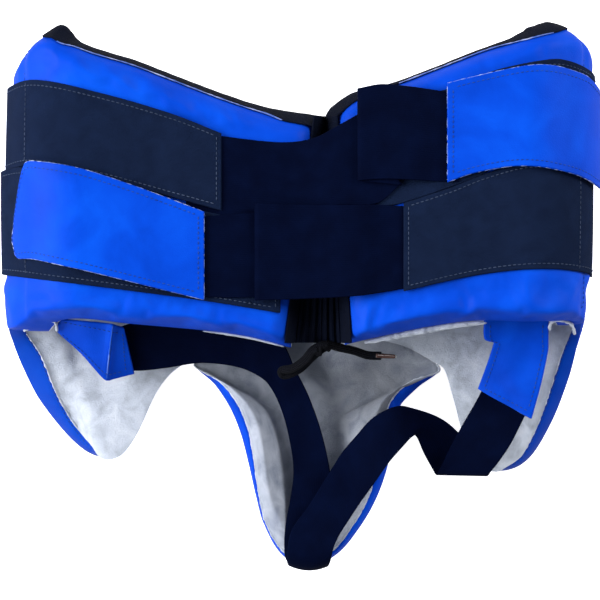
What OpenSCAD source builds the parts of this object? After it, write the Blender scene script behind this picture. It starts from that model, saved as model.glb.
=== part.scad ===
// Full-wrap groin protector for boxing, lying on its front with the padded belt closed over the back.
// X runs across the hips, Y towards the waist edge, Z up from the floor that the front rests on.

/* [Body] */
// Half width of the padded belt at the hips
hip_half = 188; // [187:1:200]
// Radius of the padded roll at each hip
roll_r = 44; // [40:1:45]
// Height of the side seam where the rear wing is hinged
seam_z = 48; // [46:1:54]
// Thickness of the padded panels
pad_t = 22; // [18:1:24]
// Fall of the wings from the hip to the centre of the back
wing_fall = 12; // [4:1:16]
// Extra height of the padding in the middle of a wing
wing_crown = 2; // [0:0.5:3]
// Radius of the turned leather edges
edge_r = 13; // [10:1:16]

/* [Skins] */
// Thickness of the outer leather
leather_t = 1.6; // [1.2:0.1:2]
// Thickness of the suede lining
lining_t = 1.4; // [1:0.1:2]
// Thickness of the hard cup shell
shell_t = 3; // [2.4:0.1:3.2]
// Room left between neighbouring layers
layer_gap = 0.2; // [0.1:0.05:0.3]

/* [Cup] */
// Height of the turned leather edge of the cup
cup_edge_z = 24; // [20:1:28]
// Height of the padded roll round the cup
cup_roll_z = 39; // [36:1:44]
// Height of the lining in the bottom of the hollow
cup_floor_z = 12; // [11:0.5:14]

/* [Straps] */
// Thickness of the loop strips sewn to the wings
strip_t = 1.5; // [1.2:0.1:1.6]
// Thickness of the woven elastic
elastic_t = 1.1; // [0.8:0.1:1.2]
// Thickness of the leather strap tabs
tab_t = 1.8; // [1.4:0.1:2]
// Thickness of the hook patch under a strap tab
hook_t = 1.1; // [0.8:0.1:1.2]
// Distance between the layers of a folded strap
fold_step = 2; // [1.8:0.1:2.4]
// Thickness of the leg strap tabs
leg_tab_t = 2.4; // [2:0.1:3]
// Width of the black edge binding
binding_t = 4.2; // [3:0.1:5]

/* [Back flaps] */
// Thickness of the gathered cloth between the wing ends
flap_t = 2.4; // [2:0.1:3]
// Height of its gathers
gather = 0.6; // [0:0.1:0.8]

/* [Lace] */
// Width of the flat lace
lace_w = 5.5; // [5:0.1:6]
// Thickness of the flat lace
lace_t = 2.2; // [1.8:0.1:2.4]
// Length of the aglet on the free end
aglet_len = 14; // [10:1:16]

/* [Hidden] */
$fn = 32;

blue = [0.02, 0.22, 0.85];
black = [0.04, 0.05, 0.09];
suede = [0.80, 0.80, 0.80];
foam_white = [0.92, 0.90, 0.84];
shell_grey = [0.45, 0.46, 0.48];
aglet_brown = [0.30, 0.20, 0.16];
LEFT = -1;
RIGHT = 1;

// Where the hip roll ends and the flat part of the section begins
flat_half = hip_half - roll_r;
// Length along the skin of one hip roll
roll_len = 71;
// Inner radii of the roll, on the lining side
roll_in = roll_r - pad_t;
roll_in_up = roll_r + 2 - pad_t;
roll_in_down = seam_z - pad_t;
// Clearance at the side seam between a wing and the front
seam_gap = 1;
// Room under a sewn strip and between the strap layers over it
skin_gap = 0.3;
fold_gap = 0.6;
strip_top = skin_gap + strip_t;
// Height above a wing's skin of the middle of each strap layer
strip_lift = skin_gap + strip_t / 2;
elastic_lift = strip_top + fold_gap + elastic_t / 2;
hook_lift = strip_top + fold_gap + hook_t / 2;
tab_lift = strip_top + 2 * fold_gap + hook_t + tab_t / 2;
// Height of the elastic's end, pressed flat under its tab
end_drop = 0.35;
end_lift = elastic_lift - end_drop;
// Length from a strip's end at which it starts to rise over the elastic, and of the rise
tuck_start = 42;
tuck_ramp = 14;
tuck_rise = elastic_t + 0.4;
// Extra height that lets a flat strap clear the crown of a wing
strap_ease = 0.3;
// Room between the binding and the sloping edge that it covers
binding_room = 1.5;
// Distance along the skin from the middle to a side seam
side_seam = flat_half + roll_len;
// Length by which the front's binding stops short of the side seams
binding_short = 4;
// How far the binding reaches under the lining and up the outer skin
binding_under = -1.5;
binding_over = 7;
// Height and turn of the binding's small waves
binding_wave = 0.4;
wave_turn = 17;

// Middle line of the back at the lower and upper end of the flaps, and half the slit between them
flap_middle = [11, 13];
flap_slit = 0.8;
// Lower and upper end of the flaps, the room to the wing's end and the height over its lining
flap_ends = [-23, 112];
flap_room = 0.5;
flap_lift = 2.2;
gather_count = 3;

// Outlines, as hand-chosen points [distance along the skin from the side seam, Y]
left_top = [[0, 150], [35, 166], [55, 173], [71, 169], [130, 149], [207, 123], [226, 117]];
left_bottom = [[0, -8], [35, -15], [71, -12], [110, -15], [148, -21], [207, -39], [226, -42]];
right_top = [[0, 158], [22, 174], [71, 165], [155, 141], [183, 132], [198, 121]];
right_bottom = [[0, -6], [22, -14], [71, -14], [110, -14], [175, -26], [198, -32]];
// Distance along the skin at which each wing ends, at its lower and upper corner
left_tip = [207, 226];
right_tip = [188, 197];

// Outline of the front panel, as [signed distance along the skin from the middle, Y]
front_top = [[-215, 146], [-180, 162], [-144, 163], [0, 112], [144, 160], [190, 168], [215, 152]];
front_bottom = [
    [-215, -9], [-200, -25], [-188, -46], [-172, -70], [-154, -92], [-138, -103], [-122, -102],
    [-111, -88], [-99, -62], [-90, -49], [-80, -41], [-70, -36], [-45, -27], [8, -21], [62, -27],
    [88, -40], [95, -46], [101, -66], [107, -88], [120, -109], [134, -113], [150, -105],
    [166, -82], [184, -50], [200, -24], [215, -9]
];

// Outline of the cup, clockwise from the left leg arch round the sewn top edge to the tip
cup_outline = [
    [-72, -41], [-45, -29], [8, -22.5], [62, -29], [90, -45], [74, -57], [63, -70], [59, -90],
    [54, -110], [45, -131], [34, -150], [20, -168], [3, -177], [-14, -168], [-26, -147],
    [-31, -129], [-36, -107], [-41, -88], [-48, -71], [-58, -56]
];
cup_centre = [8, -85];
// Levels of the cup, as [share of the outline, height at a free edge, height at the sewn edge]
cup_outside = [
    [1, cup_edge_z, 12], [0.93, cup_edge_z * 0.6, 6], [0.84, cup_edge_z * 0.3, 2],
    [0.72, cup_edge_z * 0.08, 0], [0.55, 0, 0], [0.3, 0, 0]
];
cup_inside = [
    [1, cup_edge_z + 4.5, pad_t - 1], [0.93, cup_roll_z - 3, pad_t], [0.84, cup_roll_z, pad_t - 1],
    [0.72, cup_roll_z - 8, pad_t - 4], [0.55, cup_floor_z + 6, cup_floor_z + 3],
    [0.3, cup_floor_z, cup_floor_z]
];

// Strap outlines on the wings, as [distance along the skin from the side seam, lower Y, upper Y]
left_upper_span = [[2, 86, 140], [40, 88, 143], [83, 79, 133], [162, 58, 111]];
left_lower_span = [[2, 17, 79], [60, 12, 70], [151, 0, 52], [200, -8, 45]];
right_upper_span = [[2, 90, 147], [48, 91, 156], [87, 88, 151], [155, 78, 134]];
right_lower_span = [[2, 15, 82], [58, 21, 79], [106, 16, 70], [150, 6, 61]];
upper_tab_span = [[6, 86, 143], [40, 86.5, 152], [70, 87.5, 153], [115, 84, 148], [122, 79, 140]];
upper_hook_span = [[28, 89, 147], [60, 90, 150], [110, 87, 146]];
lower_tab_span = [[5, 36, 76], [12, 29, 83], [36, 27, 85], [60, 23, 84], [90, 18, 78], [151, 1, 57]];
lower_hook_span = [[24, 31, 81], [60, 27, 80], [136, 8, 58]];

// Straps across the back, as [X, lift above the wings, lower Y, upper Y]
upper_run = [
    [-75, 0.9, 61, 112], [-50, 0.9, 58, 109], [-25, 0.9, 60, 104], [-8, 1.2, 64, 103],
    [8, 2.2, 65, 106], [24, elastic_lift, 66, 115], [48, elastic_lift, 70, 126],
    [62, elastic_lift, 74, 131]
];
upper_back = [[62, 74, 131], [36, 77, 136]];
upper_out = [[36, 77, 136], [50, 77, 138], [68, 78, 139]];
upper_end = [[86, end_lift, 80, 138], [100, end_lift, 83, 138]];
lower_run = [[78, 0.9, 12, 60], [66, 0.9, 8, 60], [50, 3, 5, 61]];
lower_over = [[36, 3, 61], [0, 1, 61], [-30, 0, 62]];
lower_back = [[-30, 1, 61], [18, 3, 59]];
lower_end = [[18, elastic_lift, 3, 58], [-30, elastic_lift, 2, 56], [-58, end_lift, 2, 54],
    [-72, end_lift, 4, 53]];

// Leg straps, as pairs of points on their two edges
left_leg_edges = [
    [[-117, -46, 36], [-124, -19, 52]], [[-105, -46, 36], [-110, -15, 50]],
    [[-88, -44, 36], [-90, -11, 47]], [[-66, -41, 36], [-65, -9, 44]],
    [[-42, -44, 35], [-36, -13, 42]], [[-27, -51, 34], [-14, -28, 40]],
    [[-20, -59, 32], [-5, -46, 37]], [[-14, -72, 29], [3, -62, 33]],
    [[-9, -90, 27], [11, -84, 29]], [[-6, -112, 27], [17, -110, 27]],
    [[-8, -130, 31], [18, -130, 31]], [[-11, -146, 38], [18, -147, 38]],
    [[-12, -159, 44], [18, -160, 44]], [[-12, -171, 44], [17, -172, 44]],
    [[-11, -179, 39], [16, -179, 39]], [[-10, -181, 31], [15, -181, 31]],
    [[-9, -180, 22], [14, -180, 22]]
];
right_leg_edges = [
    [[119, -56, 35], [147, -72, 36]], [[114, -66, 35], [142, -82, 37]],
    [[106, -80, 32], [136, -94, 35]], [[97, -97, 27], [129, -105, 31]],
    [[90, -112, 21], [123, -113, 27]], [[88, -115, 17], [121, -115.5, 23]],
    [[86, -112, 14], [118, -111, 19]], [[80, -101, 12], [107, -93, 15]],
    [[75, -90, 17], [92, -79, 19]], [[71, -90, 29], [71, -71, 31]],
    [[64, -97, 40], [60, -70, 42]], [[56, -106, 44], [46, -77, 44]],
    [[49, -118, 43], [35, -89, 40]], [[40, -132, 42], [25, -101, 38]],
    [[31, -145, 45], [15, -117, 41]], [[24, -155, 48], [3, -136, 46]],
    [[20, -164, 50], [-7, -152, 49]], [[18, -174, 48], [-10, -168, 49]],
    [[17, -182, 42], [-10, -180, 43]], [[16, -184.5, 32], [-9, -184, 32]],
    [[15, -183.5, 22], [-8, -183.5, 22]]
];
left_leg_tab_edges = [
    [[-160, -20, 57], [-158, -13, 60]], [[-144, -35, 52], [-142, -14, 64]],
    [[-129, -52, 45], [-124, -16, 64]], [[-111, -48, 41], [-117, -18, 60]]
];
right_leg_tab_edges = [
    [[118, -13, 66], [159, -12, 60]], [[120, -28, 60], [159, -32, 57]],
    [[119, -42, 51], [155, -53, 51]], [[115, -58, 42], [149, -77, 43]]
];

// Route of the lace: through the right loop and the knot, round the bow and on to the aglet
lace_route = [
    [28.5, -12, 57.2], [28, -19, 57.2], [24, -25, 57.5], [18, -29, 58], [12, -32, 58], [5, -38, 56],
    [-1, -44, 53], [-8, -48, 51], [-13, -49, 51], [-14, -46, 54], [-7, -44.5, 57], [1, -39, 60],
    [7, -32, 63], [15, -29, 63.5], [24, -31, 60], [33, -33, 53], [42, -36, 47], [51, -36.5, 43]
];
knot_at = [13, -31, 60.5];
knot_size = [13, 9, 9];
knot_turn = 25;
// Tape loops sewn under the wings' inner corners, as [X, Z] round the loop and their place in Y
left_loop = [[-13, 58.3], [-8, 58], [-5, 55.2], [-8, 52.4], [-13, 52.2]];
right_loop = [[33, 60.2], [27, 60], [24, 57.2], [27, 54.4], [33, 54.2]];
left_loop_y = -24;
right_loop_y = -15.5;
loop_t = 1.2;
// Length of lace inside the aglet, and the aglet's diameter
aglet_grip = 4;
aglet_d = 3;

// Smooth curve through points whose first value grows
function slope_at(points, i) =
    let (a = max(i - 1, 0), b = min(i + 1, len(points) - 1))
    (points[b] - points[a]) / (points[b][0] - points[a][0]);
function span_index(points, x, i = 0) =
    i >= len(points) - 2 || x <= points[i + 1][0] ? i : span_index(points, x, i + 1);
function curve_at(points, x) =
    let (
        i = span_index(points, x),
        p = points[i],
        q = points[i + 1],
        w = q[0] - p[0],
        t = min(max((x - p[0]) / w, 0), 1)
    )
    p * (1 + t * t * (2 * t - 3)) + q * (t * t * (3 - 2 * t))
    + slope_at(points, i) * (w * t * (1 - t) * (1 - t))
    - slope_at(points, i + 1) * (w * t * t * (1 - t));
function height_at(points, x) = curve_at(points, x)[1];

// Closed smooth loop through points, with a number of steps between neighbours
function loop_point(points, i, t) =
    let (
        n = len(points),
        a = points[(i + n - 1) % n],
        b = points[i],
        c = points[(i + 1) % n],
        d = points[(i + 2) % n]
    )
    0.5 * (2 * b + (c - a) * t + (2 * a - 5 * b + 4 * c - d) * t * t + (3 * b - a - 3 * c + d) * t * t * t);
function smooth_loop(points, steps) =
    [for (i = [0:len(points) - 1]) for (k = [0:steps - 1]) loop_point(points, i, k / steps)];

// Share of the full padding at a distance from a turned edge
function edge_share(d) = d >= edge_r ? 1 : d <= 0 ? 0 : sqrt(1 - (1 - d / edge_r) * (1 - d / edge_r));
turned_angles = [0, 30, 60, 90];
turned_steps = [for (a = turned_angles) edge_r * (1 - cos(a))];

// Point on a wing's section, at a distance along its skin and a height above its lining
function wing_section(side, s, h) =
    s < roll_len
        ? let (a = 90 * s / roll_len)
          [side * (flat_half + (roll_in + h) * cos(a)), seam_z + (roll_in_up + h) * sin(a)]
        : [side * (flat_half + roll_len - s), seam_z + roll_in_up + h - wing_fall * (s - roll_len) / flat_half];
function wing_top(side, s) = height_at(side == LEFT ? left_top : right_top, s);
function wing_bottom(side, s) = height_at(side == LEFT ? left_bottom : right_bottom, s);
function wing_tip(side, v) = let (t = side == LEFT ? left_tip : right_tip) t[0] + (t[1] - t[0]) * v;
function wing_point(side, s, y, h) = let (p = wing_section(side, s, h)) [p[0], y, p[1]];
function wing_share(side, s, y) =
    let (lo = wing_bottom(side, s), hi = wing_top(side, s), v = (y - lo) / (hi - lo))
    edge_share(y - lo) * edge_share(hi - y) * edge_share(wing_tip(side, v) - s);
function wing_bulge(side, s, y) =
    let (lo = wing_bottom(side, s), hi = wing_top(side, s))
    pad_t + wing_crown * sin(180 * min(max((y - lo) / (hi - lo), 0), 1));
function on_wing(side, s, y, lift) =
    wing_point(side, s, y, wing_bulge(side, s, y) * wing_share(side, s, y) + lift);
// Height of the skin over a place in the flat part of the wings
function back_z(x, y) =
    let (side = x < 0 ? LEFT : RIGHT, s = flat_half + roll_len - abs(x))
    wing_section(side, s, wing_bulge(side, s, y))[1];

// Point on the front's section, at a signed distance along its skin and a depth below its lining
function front_section(s, h) =
    abs(s) > flat_half
        ? let (a = 90 * (flat_half + roll_len - abs(s)) / roll_len)
          [sign(s) * (flat_half + (roll_in + h) * cos(a)), seam_z - (roll_in_down + h) * sin(a)]
        : [s, pad_t - h];
function front_point(s, y, h) = let (p = front_section(s, h)) [p[0], y, p[1]];

// Shortest distance from a point to a chain of points
function segment_distance(p, a, b) =
    let (d = b - a, t = min(max(((p - a) * d) / (d * d), 0), 1)) norm(p - a - d * t);
function chain_distance(p, chain) =
    min([for (i = [0:len(chain) - 2]) segment_distance(p, chain[i], chain[i + 1])]);

// Six times the volume of a set of triangles, whose sign shows which way they face
function facing(points, faces) = [for (f = faces) points[f[0]] * cross(points[f[1]], points[f[2]])] *
    [for (f = faces) 1];
module outward(points, faces) {
    turned = facing(points, faces) > 0 ? [for (f = faces) [f[2], f[1], f[0]]] : faces;
    polyhedron(points, turned);
}

// Closed solid between two sheets of points with the same rows and columns
module between_sheets(a, b) {
    rows = len(a);
    cols = len(a[0]);
    half = rows * cols;
    points = [for (sheet = [a, b]) for (row = sheet) for (p = row) p];
    rim = concat(
        [for (j = [0:cols - 1]) j],
        [for (i = [1:rows - 1]) i * cols + cols - 1],
        [for (j = [cols - 2:-1:0]) (rows - 1) * cols + j],
        [for (i = [rows - 2:-1:1]) i * cols]
    );
    sides = len(rim);
    faces = concat(
        [for (i = [0:rows - 2]) for (j = [0:cols - 2]) let (k = i * cols + j)
            each [[k, k + 1, k + cols + 1], [k, k + cols + 1, k + cols]]],
        [for (i = [0:rows - 2]) for (j = [0:cols - 2]) let (k = half + i * cols + j)
            each [[k, k + cols + 1, k + 1], [k, k + cols, k + cols + 1]]],
        [for (i = [0:sides - 1]) let (p = rim[i], q = rim[(i + 1) % sides])
            each [[q, p, p + half], [q, p + half, q + half]]]
    );
    outward(points, faces);
}

// Closed solid between two stacks of rings, each stack closed by a point in its middle
module between_bowls(a, b, a_middle, b_middle) {
    rings = len(a);
    n = len(a[0]);
    half = rings * n;
    points = concat([for (stack = [a, b]) for (ring = stack) for (p = ring) p], [a_middle, b_middle]);
    faces = concat(
        [for (i = [0:rings - 2]) for (j = [0:n - 1]) let (k = i * n + j, m = i * n + (j + 1) % n)
            each [[k, m, m + n], [k, m + n, k + n]]],
        [for (i = [0:rings - 2]) for (j = [0:n - 1])
            let (k = half + i * n + j, m = half + i * n + (j + 1) % n)
            each [[k, m + n, m], [k, k + n, m + n]]],
        [for (j = [0:n - 1]) let (k = (rings - 1) * n) [k + j, k + (j + 1) % n, 2 * half]],
        [for (j = [0:n - 1]) let (k = half + (rings - 1) * n) [k + (j + 1) % n, k + j, 2 * half + 1]],
        [for (j = [0:n - 1]) let (m = (j + 1) % n) each [[m, j, j + half], [m, j + half, m + half]]]
    );
    outward(points, faces);
}

// Band of even thickness whose middle runs through pairs of edge points
function unit(v) = v / norm(v);
function band_normal(edges, i) =
    let (
        before = edges[max(i - 1, 0)],
        after = edges[min(i + 1, len(edges) - 1)],
        along = (after[0] + after[1]) - (before[0] + before[1])
    )
    unit(cross(edges[i][1] - edges[i][0], along));
module band(edges, thick) {
    between_sheets(
        [for (i = [0:len(edges) - 1]) [for (p = edges[i]) p - band_normal(edges, i) * thick / 2]],
        [for (i = [0:len(edges) - 1]) [for (p = edges[i]) p + band_normal(edges, i) * thick / 2]]
    );
}

// Flat tube swept along a route, with its broad side level
module flat_tube(route, wide, thick, sides = 8) {
    last = len(route) - 1;
    rings = [for (i = [0:last])
        let (
            along = unit(route[min(i + 1, last)] - route[max(i - 1, 0)]),
            across = unit(cross([0, 0, 1], along)),
            up = cross(along, across)
        )
        [for (k = [0:sides - 1])
            route[i] + across * (wide / 2 * cos(360 * k / sides)) + up * (thick / 2 * sin(360 * k / sides))]];
    points = [for (ring = rings) for (p = ring) p];
    faces = concat(
        [for (i = [0:last - 1]) for (k = [0:sides - 1])
            let (p = i * sides + k, q = i * sides + (k + 1) % sides)
            each [[p, q, q + sides], [p, q + sides, p + sides]]],
        [for (k = [1:sides - 2]) [0, k + 1, k]],
        [for (k = [1:sides - 2]) let (o = last * sides) [o, o + k, o + k + 1]]
    );
    outward(points, faces);
}

// Rows of a wing's grid: turned lower edge, the middle and turned upper edge, inset by a wall
function wing_row_y(side, s, j, inset, mid) =
    let (
        lo = wing_bottom(side, s) + inset,
        hi = wing_top(side, s) - inset,
        steps = [for (d = turned_steps) d * (edge_r - inset) / edge_r],
        r = edge_r - inset,
        last = 2 * len(steps) + mid - 1
    )
    j < len(steps) ? lo + steps[j]
    : j > last - len(steps) ? hi - steps[last - j]
    : lo + r + (hi - lo - 2 * r) * (j - len(steps) + 1) / (mid + 1);
wing_mid_rows = 3;
wing_rows = 2 * len(turned_steps) + wing_mid_rows;
wing_roll_cols = 5;
wing_flat_cols = 6;
wing_cols = wing_roll_cols + wing_flat_cols + 4;
function wing_col_s(side, i, v, inset) =
    let (tip = wing_tip(side, v) - inset, r = edge_r - inset, flat = tip - r - roll_len)
    i <= wing_roll_cols ? max(roll_len * i / wing_roll_cols, seam_gap)
    : i <= wing_roll_cols + wing_flat_cols ? roll_len + flat * (i - wing_roll_cols) / wing_flat_cols
    : tip - r * (1 - cos(turned_angles[wing_cols - 1 - i]));
function row_share(j) =
    let (k = min(j, wing_rows - 1 - j)) k < len(turned_angles) ? sin(turned_angles[k]) : 1;
function col_share(i) =
    let (k = wing_cols - 1 - i) k < len(turned_angles) ? sin(turned_angles[k]) : 1;
// Sheet of points at a share of the padding height, moved down by a drop
function wing_sheet(side, inset, full, drop) =
    [for (i = [0:wing_cols - 1])
        [for (j = [0:wing_rows - 1])
            let (
                s = wing_col_s(side, i, j / (wing_rows - 1), inset),
                y = wing_row_y(side, s, j, inset, wing_mid_rows),
                rise = (wing_bulge(side, s, y) - inset) * row_share(j) * col_share(i)
            )
            wing_point(side, s, y, full * rise + drop)]];

module wing_cover(side) {
    color(blue)
        between_sheets(wing_sheet(side, 0, 1, 0), wing_sheet(side, leather_t, 1, 0));
}
module wing_foam(side) {
    inset = leather_t + layer_gap;
    color(foam_white)
        between_sheets(wing_sheet(side, inset, 1, layer_gap / 2), wing_sheet(side, inset, 0, layer_gap / 4));
}
module wing_lining(side) {
    color(suede)
        between_sheets(
            wing_sheet(side, 0, 0, -layer_gap / 2),
            wing_sheet(side, 0, 0, -layer_gap / 2 - lining_t)
        );
}
// Folded tape over the waist edge, a little wavy where it turns the corner
module wing_binding(side) {
    color(black)
        band([for (i = [0:wing_cols - 1])
            let (
                s = max(wing_col_s(side, i, 1, 0), 2),
                lean = (wing_top(side, s + 1) - wing_top(side, s - 1)) / 2,
                out = (binding_t / 2 + binding_room) * sqrt(1 + lean * lean),
                y = wing_top(side, s) + out + binding_wave * sin(wave_turn * s)
            )
            [wing_point(side, s, y, binding_under), wing_point(side, s, y, binding_over)]], binding_t);
}

// Gathered cloth from a wing's end to the middle line of the back
flap_rows = 8;
flap_cols = 12;
function wing_end(side) =
    [for (j = [0:wing_rows - 1])
        let (s = wing_tip(side, j / (wing_rows - 1)))
        [wing_row_y(side, s, j, 0, wing_mid_rows), side * (side_seam - s)]];
function flap_sheet(side, h) =
    let (end = wing_end(side))
    [for (j = [0:flap_rows])
        let (
            v = j / flap_rows,
            y = flap_ends[0] + (flap_ends[1] - flap_ends[0]) * v,
            near = lookup(y, end) - side * flap_room,
            middle = flap_middle[0] + (flap_middle[1] - flap_middle[0]) * v + side * flap_slit
        )
        [for (i = [0:flap_cols])
            let (
                x = near + (middle - near) * i / flap_cols,
                wave = gather * sin(360 * gather_count * i / flap_cols)
            )
            wing_point(side, side_seam - side * x, y, flap_lift + wave + h)]];
module back_flap(side) {
    color(black)
        between_sheets(flap_sheet(side, -flap_t / 2), flap_sheet(side, flap_t / 2));
}

// Columns of the front's grid: even steps round the rolls, closer together where the lobes turn
front_roll_cols = 5;
left_lobe_cols = [for (s = [-136:7:-73]) s];
middle_cols = [for (s = [-66:12:66]) s];
right_lobe_cols = [for (s = [74:6:134]) s];
front_cols = [
    for (k = [0:front_roll_cols]) -side_seam + roll_len * k / front_roll_cols,
    each left_lobe_cols, each middle_cols, each right_lobe_cols,
    for (k = [0:front_roll_cols]) flat_half + roll_len * k / front_roll_cols
];
front_mid_rows = 2;
front_rows = 2 * len(turned_steps) + front_mid_rows;
front_chain = [for (s = front_cols) [s, height_at(front_bottom, s)]];
front_rim = [for (s = front_cols) [s, height_at(front_top, s)]];
function front_row_y(s, j, inset) =
    let (
        lo = height_at(front_bottom, s) + inset,
        hi = height_at(front_top, s) - inset,
        r = edge_r - inset,
        last = front_rows - 1,
        n = len(turned_steps)
    )
    j < n ? lo + turned_steps[j] * r / edge_r
    : j > last - n ? hi - turned_steps[last - j] * r / edge_r
    : lo + r + (hi - lo - 2 * r) * (j - n + 1) / (front_mid_rows + 1);
function front_share(s, y) =
    edge_share(chain_distance([s, y], front_chain)) * edge_share(chain_distance([s, y], front_rim));
function front_sheet(inset, full, drop) =
    [for (s = front_cols)
        [for (j = [0:front_rows - 1])
            let (
                y = front_row_y(s, j, inset),
                outer = front_row_y(s, j, 0),
                depth = (pad_t - inset) * front_share(s, outer)
            )
            front_point(s, y, full * depth + drop)]];

module front_cover() {
    color(blue)
        between_sheets(front_sheet(0, 1, 0), front_sheet(leather_t, 1, 0));
}
module front_foam() {
    inset = leather_t + layer_gap;
    color(foam_white)
        between_sheets(front_sheet(inset, 1, layer_gap / 2), front_sheet(inset, 0, layer_gap / 4));
}
module front_lining() {
    color(suede)
        between_sheets(front_sheet(0, 0, -layer_gap / 2), front_sheet(0, 0, -layer_gap / 2 - lining_t));
}
module front_binding() {
    color(black)
        band([for (c = front_cols)
            let (
                s = min(max(c, binding_short - side_seam), side_seam - binding_short),
                y = height_at(front_top, s) + binding_t / 2 + binding_room
            )
            [front_point(s, y, binding_under), front_point(s, y, binding_over)]], binding_t);
}

// Rings of the cup: 1 on a free edge, 0 along the edge sewn to the front panel
cup_loop = smooth_loop(cup_outline, 2);
sewn_below = -42;
sewn_run = 22;
function free_edge(p) = min(max((sewn_below - p[1]) / sewn_run, 0), 1);
function cup_rings(levels, drop) =
    [for (level = levels)
        [for (p = cup_loop)
            let (
                q = cup_centre + (p - cup_centre) * level[0],
                w = free_edge(p)
            )
            [q[0], q[1], level[2] + (level[1] - level[2]) * w + drop]]];
module cup_layer(lower, upper, from, lift, under) {
    low = [for (i = [from:len(lower) - 1]) lower[i]];
    high = [for (i = [from:len(upper) - 1]) upper[i]];
    floor_low = lower[len(lower) - 1][1] + lift;
    floor_high = upper[len(upper) - 1][1] + under;
    between_bowls(
        cup_rings(low, lift), cup_rings(high, under),
        [cup_centre[0], cup_centre[1], floor_low], [cup_centre[0], cup_centre[1], floor_high]
    );
}
module cup_cover() {
    color(blue) cup_layer(cup_outside, cup_outside, 0, 0, leather_t);
}
module cup_shell() {
    start = leather_t + layer_gap;
    color(shell_grey) cup_layer(cup_outside, cup_outside, 1, start, start + shell_t);
}
module cup_padding() {
    start = leather_t + shell_t + 2 * layer_gap;
    color(foam_white) cup_layer(cup_outside, cup_inside, 1, start, -lining_t - layer_gap);
}
module cup_lining() {
    color(suede) cup_layer(cup_inside, cup_inside, 0, -lining_t, 0);
}

// Sheet that lies on a wing between two edges, raised where it passes over what is sewn under its end
strip_flat_cols = 7;
// Shares of a strip's width at which it is sampled, closer together towards the turned edge
strip_rows = [0, 0.15, 0.5, 0.8, 0.92, 1];
// Stations of a strip: those of the wing's own grid round the roll, then even steps
function strip_stations(first, last) = concat(
    [first],
    [for (k = [1:wing_roll_cols]) let (s = roll_len * k / wing_roll_cols) if (s > first + 2) s],
    [for (k = [1:strip_flat_cols]) roll_len + (last - roll_len) * k / strip_flat_cols]
);
module wing_strip(side, span, lift, thick, tuck = 0) {
    first = span[0][0];
    last = span[len(span) - 1][0];
    function raised(s) = lift + tuck * min(max((s - last + tuck_start) / tuck_ramp, 0), 1);
    function sheet(h) =
        [for (s = strip_stations(first, last))
            let (edges = curve_at(span, s))
            [for (share = strip_rows)
                on_wing(side, s, edges[1] + (edges[2] - edges[1]) * share, raised(s) + h)]];
    between_sheets(sheet(-thick / 2), sheet(thick / 2));
}

module left_upper_strip() {
    color(black) wing_strip(LEFT, left_upper_span, strip_lift, strip_t, tuck_rise);
}
module left_lower_strip() {
    color(black) wing_strip(LEFT, left_lower_span, strip_lift, strip_t);
}
module right_upper_strip() {
    color(black) wing_strip(RIGHT, right_upper_span, strip_lift, strip_t);
}
module right_lower_strip() {
    color(black) wing_strip(RIGHT, right_lower_span, strip_lift, strip_t, tuck_rise);
}
module upper_tab() {
    color(blue) wing_strip(RIGHT, upper_tab_span, tab_lift, tab_t);
}
module upper_tab_hook() {
    color(black) wing_strip(RIGHT, upper_hook_span, hook_lift, hook_t);
}
module lower_tab() {
    color(blue) wing_strip(LEFT, lower_tab_span, tab_lift, tab_t);
}
module lower_tab_hook() {
    color(black) wing_strip(LEFT, lower_hook_span, hook_lift, hook_t);
}

// Pair of edge points of a strap across the back, at a height above the skin
function back_pair(x, lift, lo, hi) =
    let (up = lift + strap_ease) [[x, lo, back_z(x, lo) + up], [x, hi, back_z(x, hi) + up]];
// Turn of a folded strap about a row of it, opening to one side
function turn(row, lift, out, rise) =
    [for (a = [-60, 0, 60])
        back_pair(row[0] + out * abs(rise) / 2 * cos(a), lift + rise / 2 * (1 + sin(a)), row[1], row[2])];
module upper_elastic() {
    low = elastic_lift;
    mid = low + fold_step;
    high = mid + fold_step;
    color(black)
        band(concat(
            [for (p = upper_run) back_pair(p[0], p[1], p[2], p[3])],
            turn(upper_back[0], low, 1, fold_step),
            [for (p = upper_back) back_pair(p[0], mid, p[1], p[2])],
            turn(upper_out[0], mid, -1, fold_step),
            [for (p = upper_out) back_pair(p[0], high, p[1], p[2])],
            [for (p = upper_end) back_pair(p[0], p[1], p[2], p[3])]
        ), elastic_t);
}
module lower_elastic() {
    mid = elastic_lift + fold_step;
    high = mid + fold_step;
    color(black)
        band(concat(
            [for (p = lower_run) back_pair(p[0], p[1], p[2], p[3])],
            [for (p = lower_over) back_pair(p[0], high, p[1], p[2])],
            turn(lower_over[2], high, -1, -fold_step),
            [for (p = lower_back) back_pair(p[0], mid, p[1], p[2])],
            turn(lower_back[1], mid, 1, -fold_step),
            [for (p = lower_end) back_pair(p[0], p[1], p[2], p[3])]
        ), elastic_t);
}

module left_leg_tab() {
    color(blue) band(left_leg_tab_edges, leg_tab_t);
}
module right_leg_tab() {
    color(blue) band(right_leg_tab_edges, leg_tab_t);
}
module left_leg_elastic() {
    color(black) band(left_leg_edges, elastic_t);
}
module right_leg_elastic() {
    color(black) band(right_leg_edges, elastic_t);
}

module lace() {
    color(black) flat_tube(lace_route, lace_w, lace_t);
}
module lace_knot() {
    color(black)
        translate(knot_at)
            rotate([0, 0, knot_turn])
                resize(knot_size)
                    sphere(d = 1, $fn = 20);
}
module lace_aglet() {
    last = len(lace_route) - 1;
    tip = lace_route[last];
    along = unit(tip - lace_route[last - 1]);
    color(aglet_brown)
        translate(tip - along * aglet_grip)
            rotate([0, acos(along[2]), atan2(along[1], along[0])])
                cylinder(d = aglet_d, h = aglet_len);
}
module tape_loop(route, y) {
    color(black)
        band([for (p = route) [[p[0], y - lace_w / 2, p[1]], [p[0], y + lace_w / 2, p[1]]]], loop_t);
}

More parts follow.
